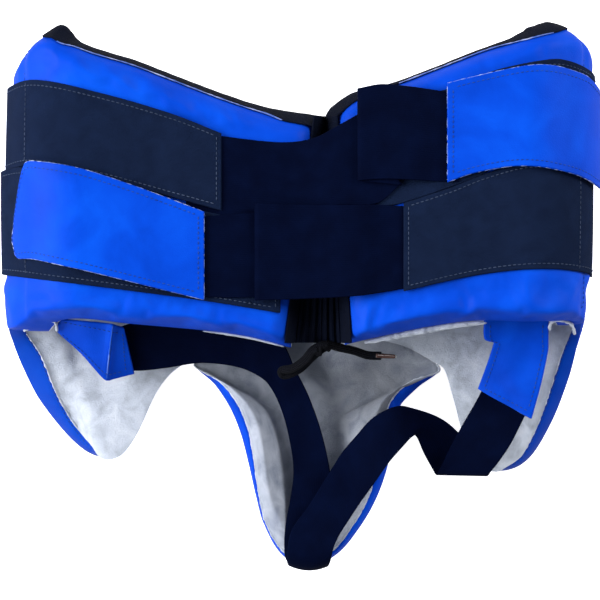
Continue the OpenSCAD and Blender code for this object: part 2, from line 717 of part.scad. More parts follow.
front_cover();
front_foam();
front_lining();
front_binding();
cup_cover();
cup_shell();
cup_padding();
cup_lining();
wing_cover(LEFT);  // left_wing_cover
wing_foam(LEFT);  // left_wing_foam
wing_lining(LEFT);  // left_wing_lining
wing_binding(LEFT);  // left_wing_binding
wing_cover(RIGHT);  // right_wing_cover
wing_foam(RIGHT);  // right_wing_foam
wing_lining(RIGHT);  // right_wing_lining
wing_binding(RIGHT);  // right_wing_binding
left_upper_strip();
left_lower_strip();
right_upper_strip();
right_lower_strip();
upper_elastic();
lower_elastic();
upper_tab();
upper_tab_hook();
lower_tab();
lower_tab_hook();
left_leg_tab();
right_leg_tab();
left_leg_elastic();
right_leg_elastic();
lace();
lace_knot();
lace_aglet();
tape_loop(left_loop, left_loop_y);  // left_lace_loop
tape_loop(right_loop, right_loop_y);  // right_lace_loop
back_flap(LEFT);  // left_back_flap
back_flap(RIGHT);  // right_back_flap
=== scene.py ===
"""Looks of a full-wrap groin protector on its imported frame: leather, suede, woven straps and a lace."""
import math

import bpy
import numpy as np
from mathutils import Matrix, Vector, geometry, noise


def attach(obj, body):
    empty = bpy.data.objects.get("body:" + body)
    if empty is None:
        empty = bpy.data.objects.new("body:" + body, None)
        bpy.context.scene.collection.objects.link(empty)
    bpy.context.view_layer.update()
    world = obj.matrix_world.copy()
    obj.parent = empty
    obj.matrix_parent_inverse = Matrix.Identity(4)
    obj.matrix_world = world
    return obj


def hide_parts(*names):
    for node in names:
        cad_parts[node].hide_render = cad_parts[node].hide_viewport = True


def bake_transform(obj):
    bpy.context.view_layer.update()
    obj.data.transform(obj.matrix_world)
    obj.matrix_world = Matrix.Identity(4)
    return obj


MM = 0.001
LEFT, RIGHT = -1, 1

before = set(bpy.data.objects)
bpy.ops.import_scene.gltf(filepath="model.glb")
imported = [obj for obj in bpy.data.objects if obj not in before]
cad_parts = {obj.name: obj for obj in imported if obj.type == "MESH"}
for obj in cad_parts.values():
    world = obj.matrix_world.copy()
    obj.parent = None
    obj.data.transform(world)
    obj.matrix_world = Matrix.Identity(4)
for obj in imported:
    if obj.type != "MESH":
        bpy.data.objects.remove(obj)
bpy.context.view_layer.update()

# Camera straight above the object, as in the photograph, with a long lens
CAMERA_HEIGHT = 3.0
VIEW_WIDTH = 0.39
VIEW_PLANE = 0.06
VIEW_MIDDLE = (-0.002, 0.0)

lens = bpy.data.cameras.new("camera")
lens.sensor_width = 36
lens.lens = lens.sensor_width * (CAMERA_HEIGHT - VIEW_PLANE) / VIEW_WIDTH
camera = bpy.data.objects.new("camera", lens)
camera.location = (*VIEW_MIDDLE, CAMERA_HEIGHT)
bpy.context.scene.collection.objects.link(camera)
bpy.context.scene.camera = camera

# Sizes of the object in millimetres, as in the part's source
HIP_HALF = 188
ROLL_R = 44
SEAM_Z = 48
PAD_T = 22
WING_FALL = 12
WING_CROWN = 2
EDGE_R = 13
WING_WIDTH = 150
LINING_T = 1.4
STRIP_T = 1.5
ELASTIC_T = 1.1
TAB_T = 1.8
HOOK_T = 1.1
FOLD_STEP = 2
LEG_TAB_T = 2.4
LACE_W = 5.5
LACE_T = 2.2
CUP_EDGE_Z = 24
CUP_ROLL_Z = 39
CUP_FLOOR_Z = 12
ROLL_LEN = 71
FLAT_HALF = HIP_HALF - ROLL_R
SIDE_SEAM = FLAT_HALF + ROLL_LEN
ROLL_IN = ROLL_R - PAD_T
ROLL_IN_UP = ROLL_R + 2 - PAD_T
ROLL_IN_DOWN = SEAM_Z - PAD_T
SKIN_GAP = 0.3
FOLD_GAP = 0.6
STRIP_LIFT = SKIN_GAP + STRIP_T / 2
STRIP_TOP = SKIN_GAP + STRIP_T
ELASTIC_LIFT = STRIP_TOP + FOLD_GAP + ELASTIC_T / 2
HOOK_LIFT = STRIP_TOP + FOLD_GAP + HOOK_T / 2
TAB_LIFT = STRIP_TOP + 2 * FOLD_GAP + HOOK_T + TAB_T / 2
END_DROP = 0.35
END_LIFT = ELASTIC_LIFT - END_DROP
STRAP_EASE = 0.3

# Wing outlines as [distance along the skin from the side seam, Y]
LEFT_TOP = [
    [0, 154], [17, 162], [28, 169], [40, 173.5], [50, 173.5], [58, 170], [66, 167], [80, 161.5],
    [105, 154], [130, 144.5], [155, 135], [180, 126.5], [202, 120.5], [226, 116.5],
]
LEFT_BOTTOM = [
    [0, -20.5], [14, -19.5], [27, -16.5], [40, -13.5], [71, -12], [99, -15], [153, -20], [180, -24],
    [196, -28], [207, -31], [226, -36],
]
RIGHT_TOP = [
    [0, 163], [12, 171], [27, 176.5], [36, 178], [50, 177], [68, 173], [82, 167], [99, 161.3],
    [122, 152.3], [150, 141.5], [170, 135], [183, 131], [198, 120.5],
]
RIGHT_BOTTOM = [[0, -16.5], [10, -15.5], [22, -14], [71, -14], [110, -14], [175, -26], [198, -32]]
WING_TOP = {LEFT: LEFT_TOP, RIGHT: RIGHT_TOP}
WING_BOTTOM = {LEFT: LEFT_BOTTOM, RIGHT: RIGHT_BOTTOM}
WING_TIP = {LEFT: (207, 226), RIGHT: (188, 197)}
SIDE_NAME = {LEFT: "left", RIGHT: "right"}

# Front outline as [signed distance along the skin from the middle, Y]
FRONT_TOP = [[-215, 144], [-180, 156], [-144, 160], [0, 112], [144, 158], [190, 162], [215, 150]]
FRONT_BOTTOM = [
    [-215, -17], [-202, -27], [-189, -44], [-172, -70], [-154, -92], [-138, -103], [-122, -102],
    [-111, -88], [-99, -62], [-90, -49], [-80, -41], [-70, -36], [-45, -27], [8, -21], [62, -27],
    [88, -40], [95, -46], [101, -66], [107, -88], [120, -109], [134, -113], [150, -105],
    [166, -82], [184, -50], [200, -25], [215, -14],
]
CUP_OUTLINE = [
    [-72, -41], [-45, -29], [8, -22.5], [62, -29], [90, -45], [75.3, -58], [63.5, -70.5], [59, -90],
    [55.5, -110], [48, -131], [37, -150], [22, -167.5], [3, -175.5], [-14, -167.5], [-26, -147],
    [-31, -129], [-36, -107], [-41, -88], [-48, -71], [-58, -56],
]
CUP_CENTRE = np.array([8.0, -85.0])

# Strap outlines on the wings as [distance along the skin from the side seam, lower Y, upper Y]
STRAP_SPANS = {
    "left_upper_strip": [
        [2, 83.5, 137], [40, 87, 141.5], [83, 79, 133], [130, 66.5, 119.5], [162, 58, 107],
    ],
    "left_lower_strip": [
        [2, 17, 83], [30, 15, 85.5], [46, 13.5, 79], [60, 12, 72], [151, 0, 57], [200, -8, 45],
    ],
    "right_upper_strip": [
        [2, 90, 144], [24, 90.5, 149.5], [48, 91, 154.5], [62, 90.5, 153.5], [87, 88, 148.5],
        [99, 81.5, 144.5], [120, 73, 136], [140, 66, 131], [150, 63, 128], [160, 61, 125], [172, 60, 121],
    ],
    "right_lower_strip": [
        [2, 15, 85], [47, 20, 88], [72, 20, 88], [99, 17, 80.5], [120, 13, 72], [150, 6, 62],
    ],
    "upper_tab": [
        [9, 71.6, 134.2], [20, 74, 139], [30, 77.5, 144], [41, 81, 147], [54, 84, 150], [66, 86, 150.6],
        [82, 86, 148.2], [107, 81.4, 142.7], [122, 76, 139],
    ],
    "upper_tab_hook": [[28, 82, 140], [60, 88.5, 147], [110, 84, 139]],
    "lower_tab": [
        [24, 34, 44], [26, 29, 52], [30, 27, 66], [34, 27, 82], [37, 27, 88], [44, 26.5, 89],
        [70, 20.5, 84.6], [107, 11.5, 72.8], [151, 0.5, 56.5],
    ],
    "lower_tab_hook": [[40, 30, 84], [60, 27, 82], [136, 8, 57]],
}

# Straps across the back as [X, lift above the wings, lower Y, upper Y]
UPPER_RUN = [
    [-75, 0.9, 58, 109], [-50, 0.9, 53.5, 105], [-25, 0.9, 54, 102], [-8, 1.2, 57, 101.5],
    [8, 2.2, 60, 104.5], [24, ELASTIC_LIFT, 61.5, 113], [48, ELASTIC_LIFT, 62.5, 126],
    [62, ELASTIC_LIFT, 74, 131],
]
UPPER_BACK = [[62, 74, 131], [36, 77, 136]]
UPPER_OUT = [[36, 77, 136], [50, 78, 138.5], [68, 77.5, 137]]
UPPER_END = [[86, END_LIFT, 76.5, 134.5], [100, END_LIFT, 76, 132]]
LOWER_RUN = [[78, 0.9, 12, 60], [66, 0.9, 8, 60], [50, 3, 5, 61]]
LOWER_OVER = [[36, 3, 61], [0, 1, 61], [-30, 0, 62]]
LOWER_BACK = [[-30, 1, 61], [18, 3, 59]]
LOWER_END = [
    [18, ELASTIC_LIFT, 3, 58], [-30, ELASTIC_LIFT, 2, 56], [-58, END_LIFT, 2, 54],
    [-72, END_LIFT, 4, 53],
]

# Leg straps as pairs of points on their two edges
LEFT_LEG = [
    [[-117, -46, 36], [-124, -19, 52]], [[-105, -46, 36], [-110, -15, 50]],
    [[-88, -44, 36], [-90, -11, 47]], [[-66, -41, 36], [-65, -9, 44]],
    [[-42, -44, 35], [-36, -13, 42]], [[-27, -51, 34], [-14, -28, 40]],
    [[-20, -59, 32], [-5, -46, 37]], [[-14, -72, 29], [3, -62, 33]],
    [[-9, -90, 27], [11, -84, 29]], [[-6, -112, 27], [17, -110, 27]],
    [[-8, -130, 31], [18, -130, 31]], [[-11, -146, 38], [18, -147, 38]],
    [[-12, -156, 44], [18, -157, 44]], [[-12, -164, 44], [17, -165, 44]],
    [[-11, -169, 39], [16, -169, 39]], [[-10, -170.5, 31], [15, -170.5, 31]],
    [[-9, -169.5, 22], [14, -169.5, 22]],
]
RIGHT_LEG = [
    [[119, -56, 35], [147, -72, 36]], [[114, -66, 35], [142, -82, 37]],
    [[106, -80, 32], [136, -94, 35]], [[97, -97, 27], [129, -105, 31]],
    [[90, -112, 21], [123, -113, 27]], [[88, -115, 17], [121, -115.5, 23]],
    [[86, -112, 14], [118, -111, 19]], [[80, -101, 12], [107, -93, 15]],
    [[75, -90, 17], [92, -79, 19]], [[71, -90, 29], [71, -71, 31]],
    [[64, -97, 40], [60, -70, 42]], [[56, -106, 44], [46, -77, 44]],
    [[47.5, -118, 43], [35, -89, 40]], [[37.5, -132, 42], [25, -101, 38]],
    [[29.5, -144, 45], [15, -117, 41]], [[23, -154, 48], [3, -136, 46]],
    [[20, -161, 50], [-7, -150, 49]], [[18, -168, 48], [-10, -163, 49]],
    [[17, -172, 42], [-10, -171, 43]], [[16, -173.5, 32], [-9, -173, 32]],
    [[15, -172.5, 22], [-8, -172.5, 22]],
]
LEFT_LEG_TAB = [
    [[-160, -20, 57], [-158, -13, 60]], [[-144, -35, 52], [-142, -14, 64]],
    [[-132, -49, 46.5], [-127, -15.5, 64]], [[-128.5, -52, 45], [-123.5, -16, 65.5]],
    [[-125, -51.2, 43], [-121, -17, 62.5]], [[-111, -48, 41], [-117, -18, 60]],
]
LEFT_TAB_FOLD = [[-123.5, -17, 67.2], [-126, -34, 57.2], [-128.3, -51, 46.8]]
RIGHT_LEG_TAB = [
    [[118, -13, 66], [159, -12, 60]], [[118.6, -25.5, 61.5], [159, -29, 57.6]],
    [[124.3, -26.8, 60.5], [159, -31, 57.2]], [[124, -30, 58.6], [158.5, -35, 56.4]],
    [[120.5, -42, 51], [155, -53, 51]], [[115, -58, 42], [149, -77, 43]],
]

# Route of the lace and its tape loops
LACE_ROUTE = [
    [28.5, -12, 57.2], [28, -19, 57.2], [24, -25, 57.5], [18, -29, 58], [12, -32, 58], [5, -38, 56],
    [-1, -44, 53], [-8, -48, 51], [-13, -49, 51], [-14, -46, 54], [-7, -44.5, 57], [1, -39, 60],
    [7, -32, 63], [15, -29, 63.5], [24, -31, 60], [33, -33, 53], [42, -36, 47], [51, -36.5, 43],
]
KNOT_AT = np.array([13, -31, 60.5])
AGLET_GRIP = 4
AGLET_LEN = 14
AGLET_D = 3
LEFT_LOOP = [[-13, 58.3], [-8, 58], [-5, 55.2], [-8, 52.4], [-13, 52.2]]
RIGHT_LOOP = [[33, 60.2], [27, 60], [24, 57.2], [27, 54.4], [33, 54.2]]
LOOP_Y = {LEFT: -24, RIGHT: -15.5}
LOOP_T = 1.2


# Curves
def curve(rows, x):
    """A table read at x on a smooth curve through its rows, whose first value grows."""
    p = np.array(rows, float)
    x = np.clip(np.asarray(x, float), p[0, 0], p[-1, 0])
    last = len(p) - 1
    before = np.maximum(np.arange(last + 1) - 1, 0)
    after = np.minimum(np.arange(last + 1) + 1, last)
    slope = (p[after] - p[before]) / (p[after, :1] - p[before, :1])
    i = np.clip(np.searchsorted(p[:, 0], x) - 1, 0, last - 1)
    w = (p[i + 1, 0] - p[i, 0])[..., None]
    t = (x - p[i, 0])[..., None] / w
    ends = p[i] * (1 + t * t * (2 * t - 3)) + p[i + 1] * (t * t * (3 - 2 * t))
    return ends + slope[i] * (w * t * (1 - t) ** 2) - slope[i + 1] * (w * t * t * (1 - t))


def height(rows, x):
    """The second column of a table, read at x."""
    return curve(rows, x)[..., 1]


def sweep(rows, step):
    """Points joined by a smooth curve and read at even steps, with one close step at each end."""
    p = np.array(rows, float)
    at = along(p)
    return curve(np.column_stack([at, p]), shares(at[-1], step) * at[-1])[:, 1:]


def shares(length, step, rim=0.5):
    """Even shares of a length from 0 to 1, with one close to each end so that a rim stays crisp."""
    near = rim / length
    return np.concatenate([[0], np.linspace(near, 1 - near, max(int(length / step), 3)), [1]])


def along(line):
    """Distance along a chain of points."""
    return np.concatenate([[0], np.cumsum(np.linalg.norm(np.diff(line, axis=0), axis=1))])


def even(line, step):
    """A chain of points read again at even steps."""
    at = along(line)
    x = np.linspace(0, at[-1], max(int(round(at[-1] / step)), 2) + 1)
    return np.column_stack([np.interp(x, at, line[:, k]) for k in range(line.shape[1])])


def unit(v):
    """Vectors scaled to length one."""
    return v / np.maximum(np.linalg.norm(v, axis=-1, keepdims=True), 1e-9)


def smooth_step(x, low, high):
    """Share that grows smoothly from 0 at the low value to 1 at the high one."""
    t = np.clip((np.asarray(x, float) - low) / (high - low), 0, 1)
    return t * t * (3 - 2 * t)


def bell(x, half):
    """Share that falls smoothly from 1 at zero, with that half width."""
    return np.exp(-(x / half) ** 2)


def ripple(points, size, seed=0.0):
    """Smooth noise from -1 to 1 at points in millimetres, with waves of about that size."""
    flat = np.asarray(points, float).reshape(-1, 3) / size + seed
    return np.array([noise.noise(Vector(p)) for p in flat]).reshape(np.shape(points)[:-1])


def line_noise(s, size, seed):
    """Smooth noise along one length."""
    return ripple(np.stack([s, 0 * s, 0 * s], -1), size, seed)


# The padded surfaces
def edge_share(d):
    """Share of the full padding at a distance from a turned edge."""
    t = np.clip(np.asarray(d, float) / EDGE_R, 0, 1)
    return np.sqrt(1 - (1 - t) ** 2)


def wing_point(side, s, y, h):
    """Point on a wing at a distance along its skin and a height above its lining."""
    s, y, h = np.broadcast_arrays(*(np.asarray(v, float) for v in (s, y, h)))
    a = np.radians(90 * s / ROLL_LEN)
    rolled = s < ROLL_LEN
    x = np.where(rolled, FLAT_HALF + (ROLL_IN + h) * np.cos(a), SIDE_SEAM - s)
    fall = WING_FALL * (s - ROLL_LEN) / FLAT_HALF
    rise = np.where(rolled, (ROLL_IN_UP + h) * np.sin(a), ROLL_IN_UP + h - fall)
    return np.stack([side * x, y, SEAM_Z + rise], -1)


def wing_edges(side, s):
    """Lower and upper Y of a wing at a distance along its skin."""
    return height(WING_BOTTOM[side], s), height(WING_TOP[side], s)


def wing_tip(side, v):
    """Distance along the skin of a wing's end at a share of its width."""
    low, high = WING_TIP[side]
    return low + (high - low) * v


def wing_bulge(side, s, y):
    """Full height of a wing's padding, crowned in its middle."""
    lo, hi = wing_edges(side, s)
    v = np.clip((y - lo) / (hi - lo), 0, 1)
    return PAD_T + WING_CROWN * np.sin(np.pi * v)


def wing_height(side, s, y):
    """Height of a wing's skin above its lining."""
    lo, hi = wing_edges(side, s)
    tip = wing_tip(side, (y - lo) / (hi - lo))
    return wing_bulge(side, s, y) * edge_share(y - lo) * edge_share(hi - y) * edge_share(tip - s)


def back_z(x, y):
    """Height of the skin over a place in the flat part of the wings."""
    x, y = np.broadcast_arrays(np.asarray(x, float), np.asarray(y, float))
    s = SIDE_SEAM - np.abs(x)
    bulge = np.where(x < 0, wing_bulge(LEFT, s, y), wing_bulge(RIGHT, s, y))
    return SEAM_Z + ROLL_IN_UP + bulge - WING_FALL * (s - ROLL_LEN) / FLAT_HALF


def front_point(s, y, h):
    """Point on the front at a signed distance along its skin and a depth below its lining."""
    s, y, h = np.broadcast_arrays(*(np.asarray(v, float) for v in (s, y, h)))
    a = np.radians(90 * (SIDE_SEAM - np.abs(s)) / ROLL_LEN)
    rolled = np.abs(s) > FLAT_HALF
    x = np.where(rolled, np.sign(s) * (FLAT_HALF + (ROLL_IN + h) * np.cos(a)), s)
    z = np.where(rolled, SEAM_Z - (ROLL_IN_DOWN + h) * np.sin(a), PAD_T - h)
    return np.stack([x, y, z], -1)


# Meshes
RIM_ROUND = 0.3


def piece(name, points, faces, material, uv=None):
    """A mesh object from points in millimetres, with its place along and across as the UV map."""
    mesh = bpy.data.meshes.new(name)
    mesh.from_pydata((np.asarray(points, float) * MM).tolist(), [], [list(map(int, f)) for f in faces])
    if uv is not None:
        corner = np.zeros(len(mesh.loops), np.int32)
        mesh.loops.foreach_get("vertex_index", corner)
        layer = mesh.uv_layers.new(name="UVMap")
        layer.data.foreach_set("uv", (np.asarray(uv) * MM)[corner].astype(np.float32).ravel())
    mesh.materials.append(material)
    mesh.shade_smooth()
    made = bpy.data.objects.new(name, mesh)
    bpy.context.scene.collection.objects.link(made)
    return made


def grid_faces(rows, cols, closed=False):
    """Four-sided faces between the points of a grid, whose last column may meet its first."""
    index = np.arange(rows * cols).reshape(rows, cols)
    after = np.roll(index, -1, 1) if closed else index[:, 1:]
    here = index if closed else index[:, :-1]
    return np.stack([here[:-1], here[1:], after[1:], after[:-1]], -1).reshape(-1, 4)


def normals_of(grid):
    """Surface normals at the points of a grid."""
    return unit(np.cross(np.gradient(grid, axis=0), np.gradient(grid, axis=1)))


def grid_uv(grid):
    """Distance along and across a grid at each of its points."""
    u = np.concatenate([[0], np.cumsum(np.linalg.norm(np.diff(grid, axis=0), axis=2).mean(1))])
    v = np.concatenate([[0], np.cumsum(np.linalg.norm(np.diff(grid, axis=1), axis=2).mean(0))])
    return np.stack(np.meshgrid(u, v, indexing="ij"), -1)


def open_grid(name, grid, material):
    """An open sheet through a grid of points."""
    rows, cols = grid.shape[:2]
    return piece(name, grid.reshape(-1, 3), grid_faces(rows, cols), material, grid_uv(grid).reshape(-1, 2))


def sheet_solid(name, grid, thick, material):
    """A closed sheet of even thickness about a grid of points, with a rounded rim."""
    rows, cols = grid.shape[:2]
    normal = normals_of(grid)
    index = np.arange(rows * cols).reshape(rows, cols)
    rim = np.concatenate([index[:-1, 0], index[-1, :-1], index[:0:-1, -1], index[0, :0:-1]])
    flat = grid.reshape(-1, 3)
    i, j = np.divmod(rim, cols)
    inner = index[np.clip(i, 1, rows - 2), np.clip(j, 1, cols - 2)]
    edge = flat[rim] + unit(flat[rim] - flat[inner]) * thick * RIM_ROUND
    half = rows * cols
    top = grid_faces(rows, cols)
    turn = np.arange(len(rim))
    nxt = np.roll(rim, -1)
    mid, mid_nxt = 2 * half + turn, 2 * half + np.roll(turn, -1)
    upper = np.stack([nxt, rim, mid, mid_nxt], -1)
    lower = np.stack([mid_nxt, mid, rim + half, nxt + half], -1)
    over, under = grid + normal * thick / 2, grid - normal * thick / 2
    points = np.concatenate([over.reshape(-1, 3), under.reshape(-1, 3), edge])
    uv = grid_uv(grid).reshape(-1, 2)
    faces = np.concatenate([top, top[:, ::-1] + half, upper, lower])
    return piece(name, points, faces, material, np.concatenate([uv, uv, uv[rim]]))


def tube(name, line, across, up, wide, thick, material, sides=12):
    """A closed flat tube whose cross-section has the given width and thickness."""
    a = np.linspace(0, 2 * np.pi, sides, endpoint=False)
    shape = np.stack([np.cos(a), np.sin(a)], -1)
    wide, thick = np.broadcast_to(wide, len(line)), np.broadcast_to(thick, len(line))
    rings = (line[:, None] + across[:, None] * (shape[None, :, :1] * wide[:, None, None] / 2)
             + up[:, None] * (shape[None, :, 1:] * thick[:, None, None] / 2))
    n = len(line)
    faces = [list(f) for f in grid_faces(n, sides, closed=True)]
    faces += [list(range(sides)), list(range((n - 1) * sides, n * sides))[::-1]]
    u = np.repeat(along(line), sides)
    v = np.tile(np.linspace(0, LACE_W * 2, sides), n)
    return piece(name, rings.reshape(-1, 3), faces, material, np.stack([u, v], -1))


def side_vectors(line):
    """Directions across and up for a flat cord whose broad side stays level."""
    run = unit(np.gradient(line, axis=0))
    across = unit(np.cross([0.0, 0.0, 1.0], run))
    return across, np.cross(run, across)


def level_tube(name, line, wide, thick, material, sides=12):
    """A closed flat tube along a line, whose broad side stays level."""
    across, up = side_vectors(line)
    return tube(name, line, across, up, wide, thick, material, sides)


def joined(name, parts):
    """Several pieces made into one object."""
    for o in bpy.context.selected_objects:
        o.select_set(False)
    for o in parts:
        o.select_set(True)
    bpy.context.view_layer.objects.active = parts[0]
    bpy.ops.object.join()
    parts[0].name = name
    return parts[0]


def stands_for(part, slot, *nodes):
    """The part takes the place of frame nodes, which it hides; the slot is not used."""
    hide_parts(*nodes)


# Shader helpers
def add(tree, kind, inputs=None, **settings):
    """A shader node with its settings, whose inputs are linked or set."""
    made = tree.nodes.new(kind)
    for key, value in settings.items():
        setattr(made, key, value)
    for key, value in (inputs or {}).items():
        if isinstance(value, bpy.types.NodeSocket):
            tree.links.new(value, made.inputs[key])
        else:
            made.inputs[key].default_value = value
    return made


def math_node(tree, operation, a, b=0.0):
    """Result of one sum in a shader."""
    return add(tree, "ShaderNodeMath", {0: a, 1: b}, operation=operation).outputs[0]


def ramp(tree, value, stops):
    """Colours along a value, as (place, colour) pairs."""
    made = add(tree, "ShaderNodeValToRGB", {"Fac": value})
    slots = made.color_ramp.elements
    while len(slots) < len(stops):
        slots.new(0.5)
    for slot, (place, colour) in zip(slots, stops):
        slot.position = place
        slot.color = (*colour, 1)
    return made.outputs["Color"]


def scaled(tree, value, low, high):
    """A share from 0 to 1 mapped to a range."""
    return add(tree, "ShaderNodeMapRange", {"Value": value, "To Min": low, "To Max": high}).outputs[0]


def group(name):
    """An empty effect that reads a place and gives a relief height and a tone."""
    tree = bpy.data.node_groups.new(name, "ShaderNodeTree")
    tree.interface.new_socket("Place", in_out="INPUT", socket_type="NodeSocketVector")
    for socket in ("Height", "Tone"):
        tree.interface.new_socket(socket, in_out="OUTPUT", socket_type="NodeSocketFloat")
    start = tree.nodes.new("NodeGroupInput")
    return tree, start.outputs, tree.nodes.new("NodeGroupOutput").inputs


def noise_node(tree, place, scale, detail=3.0, distortion=0.0):
    """Cloudy noise in a shader."""
    return add(tree, "ShaderNodeTexNoise",
               {"Vector": place, "Scale": scale, "Detail": detail, "Distortion": distortion}).outputs[0]


def wave(tree, place, period):
    """Sine from 0 to 1 with that period in metres."""
    turn = math_node(tree, "SINE", math_node(tree, "MULTIPLY", place, 2 * math.pi / period))
    return math_node(tree, "MULTIPLY_ADD", turn, 0.5)


def added(tree, base, extra, share):
    """A shader value with a share of another one added."""
    made = math_node(tree, "MULTIPLY_ADD", extra, share)
    tree.links.new(base, made.node.inputs[2])
    return made


# Noise sizes in cells per metre, and the share of each in the relief
CELL_SCALE, CELL_SHARE = 620.0, 0.9
PORE_SCALE, PORE_SHARE = 1900.0, 0.25
WRINKLE_SCALE, WRINKLE_SHARE = 130.0, 1.1
WEFT_SHARE = 0.45
FUZZ_SCALE, FUZZ_SHARE = 2600.0, 0.7
NAP_SCALE = 1500.0
TUFT_SCALE, TUFT_SHARE = 320.0, 0.8
# Sizes of the slow tone changes, also in cells per metre
LEATHER_TONE = 26.0
WEAVE_TONE = 60.0
NAP_TONE = 85.0


def leather_group():
    """Fine cell grain, pores and slow tone changes of soft leather."""
    tree, given, out = group("leather_grain")
    cells = add(tree, "ShaderNodeTexVoronoi", {"Vector": given["Place"], "Scale": CELL_SCALE},
                feature="DISTANCE_TO_EDGE").outputs["Distance"]
    pores = noise_node(tree, given["Place"], PORE_SCALE)
    wrinkles = noise_node(tree, given["Place"], WRINKLE_SCALE, 4.0, 0.8)
    fine = added(tree, math_node(tree, "MULTIPLY", cells, CELL_SHARE), pores, PORE_SHARE)
    tree.links.new(added(tree, fine, wrinkles, WRINKLE_SHARE), out["Height"])
    tree.links.new(noise_node(tree, given["Place"], LEATHER_TONE, 4.0, 0.4), out["Tone"])
    return tree


def weave_group(name, rib, weft):
    """Ribs along a strap crossed by its weft, from its place along and across."""
    tree, given, out = group(name)
    place = add(tree, "ShaderNodeSeparateXYZ", {0: given["Place"]}).outputs
    ribs = wave(tree, place[1], rib)
    cross = wave(tree, place[0], weft)
    woven = added(tree, ribs, cross, WEFT_SHARE)
    fuzz = noise_node(tree, given["Place"], FUZZ_SCALE)
    tree.links.new(added(tree, woven, fuzz, FUZZ_SHARE), out["Height"])
    tree.links.new(noise_node(tree, given["Place"], WEAVE_TONE, 4.0), out["Tone"])
    return tree


def nap_group():
    """Brushed nap of suede or loop pile."""
    tree, given, out = group("nap")
    fibres = noise_node(tree, given["Place"], NAP_SCALE, 5.0, 1.5)
    tufts = noise_node(tree, given["Place"], TUFT_SCALE, 3.0, 0.6)
    tree.links.new(added(tree, fibres, tufts, TUFT_SHARE), out["Height"])
    tree.links.new(noise_node(tree, given["Place"], NAP_TONE, 7.0, 0.6), out["Tone"])
    return tree


def paint_shade_round_spot(tree, where, colour, spot):
    """Painted shade: the colour darkened round a spot, as [X, Y, Z, inner radius, outer radius, shade]."""
    x, y, z, inner, outer, shade = spot
    near = add(tree, "ShaderNodeVectorMath", {0: where, 1: (x, y, z)}, operation="DISTANCE")
    unshaded = add(tree, "ShaderNodeMapRange", {0: near.outputs["Value"], 1: inner, 2: outer},
                interpolation_type="SMOOTHSTEP")
    shade = (shade, shade, shade, 1)
    tint = add(tree, "ShaderNodeMix", {0: unshaded.outputs[0], 6: shade, 7: (1, 1, 1, 1)}, data_type="RGBA")
    return add(tree, "ShaderNodeMix", {0: 1.0, 6: colour, 7: tint.outputs[2]},
               data_type="RGBA", blend_type="MULTIPLY").outputs[2]


def material(name, effect, place, stops, rough, bump, depth, grazing=None, painted_shade=None, **constants):
    """A material whose colour, roughness and relief come from a shared effect, with painted shade round a
    spot if one is given.
    """
    made = bpy.data.materials.new(name)
    made.use_nodes = True
    tree = made.node_tree
    shader = tree.nodes["Principled BSDF"]
    where = add(tree, "ShaderNodeTexCoord").outputs[place]
    look = add(tree, "ShaderNodeGroup", node_tree=effect)
    tree.links.new(where, look.inputs["Place"])
    colour = ramp(tree, look.outputs["Tone"], stops)
    if grazing:
        facing = add(tree, "ShaderNodeLayerWeight", {"Blend": 0.4}).outputs["Facing"]
        mixed = add(tree, "ShaderNodeMix", {0: facing, 6: colour, 7: (*grazing, 1)}, data_type="RGBA")
        colour = mixed.outputs[2]
    # Painted shade round a spot
    if painted_shade:
        colour = paint_shade_round_spot(tree, where, colour, painted_shade)
    tree.links.new(colour, shader.inputs["Base Color"])
    tree.links.new(scaled(tree, look.outputs["Tone"], *rough), shader.inputs["Roughness"])
    relief = add(tree, "ShaderNodeBump",
                 {"Strength": bump, "Distance": depth, "Height": look.outputs["Height"]})
    tree.links.new(relief.outputs[0], shader.inputs["Normal"])
    for key, value in constants.items():
        shader.inputs[key.replace("_", " ")].default_value = value
    return made


grain = leather_group()
nap = nap_group()
elastic_weave = weave_group("elastic_weave", 0.0013, 0.0009)
tape_weave = weave_group("tape_weave", 0.0009, 0.0012)


def leather_look(name, stops, grazing):
    """Coated leather, darker at grazing angles."""
    return material(name, grain, "Object", stops, (0.42, 0.56), 0.32, 0.0004, grazing=grazing,
                    Specular_IOR_Level=0.05)


def suede_look(name, stops, painted_shade=None):
    """Brushed leather, with painted shade round a spot if one is given."""
    return material(name, nap, "Object", stops, (0.85, 0.95), 0.8, 0.001, painted_shade=painted_shade,
                    Sheen_Weight=0.1, Specular_IOR_Level=0.1)


def fibre_look(name, stops):
    """Fibres of a cut leather edge; also used for a pale line that paints a highlight."""
    return material(name, nap, "Object", stops, (0.8, 0.95), 0.5, 0.0008, Specular_IOR_Level=0.2)


def thread_look(name, stops):
    """Twisted sewing thread."""
    return material(name, tape_weave, "Object", stops, (0.5, 0.7), 0.3, 0.0002, Specular_IOR_Level=0.2)


BLUE = leather_look(
    "blue_leather",
    [(0.3, (0.0005, 0.044, 0.47)), (0.5, (0.0007, 0.058, 0.58)), (0.7, (0.0013, 0.080, 0.69))],
    (0.004, 0.05, 0.50))
# Painted shade: a darker, more violet copy of the blue leather for the front's rolled lower edge
SHADED_RIM_BLUE = leather_look(
    "rim_leather",
    [(0.3, (0.0005, 0.037, 0.35)), (0.5, (0.0007, 0.048, 0.43)), (0.7, (0.0013, 0.065, 0.51))],
    (0.008, 0.045, 0.38))
SUEDE = suede_look(
    "suede", [(0.3, (0.43, 0.475, 0.56)), (0.5, (0.60, 0.655, 0.76)), (0.7, (0.72, 0.77, 0.865))])
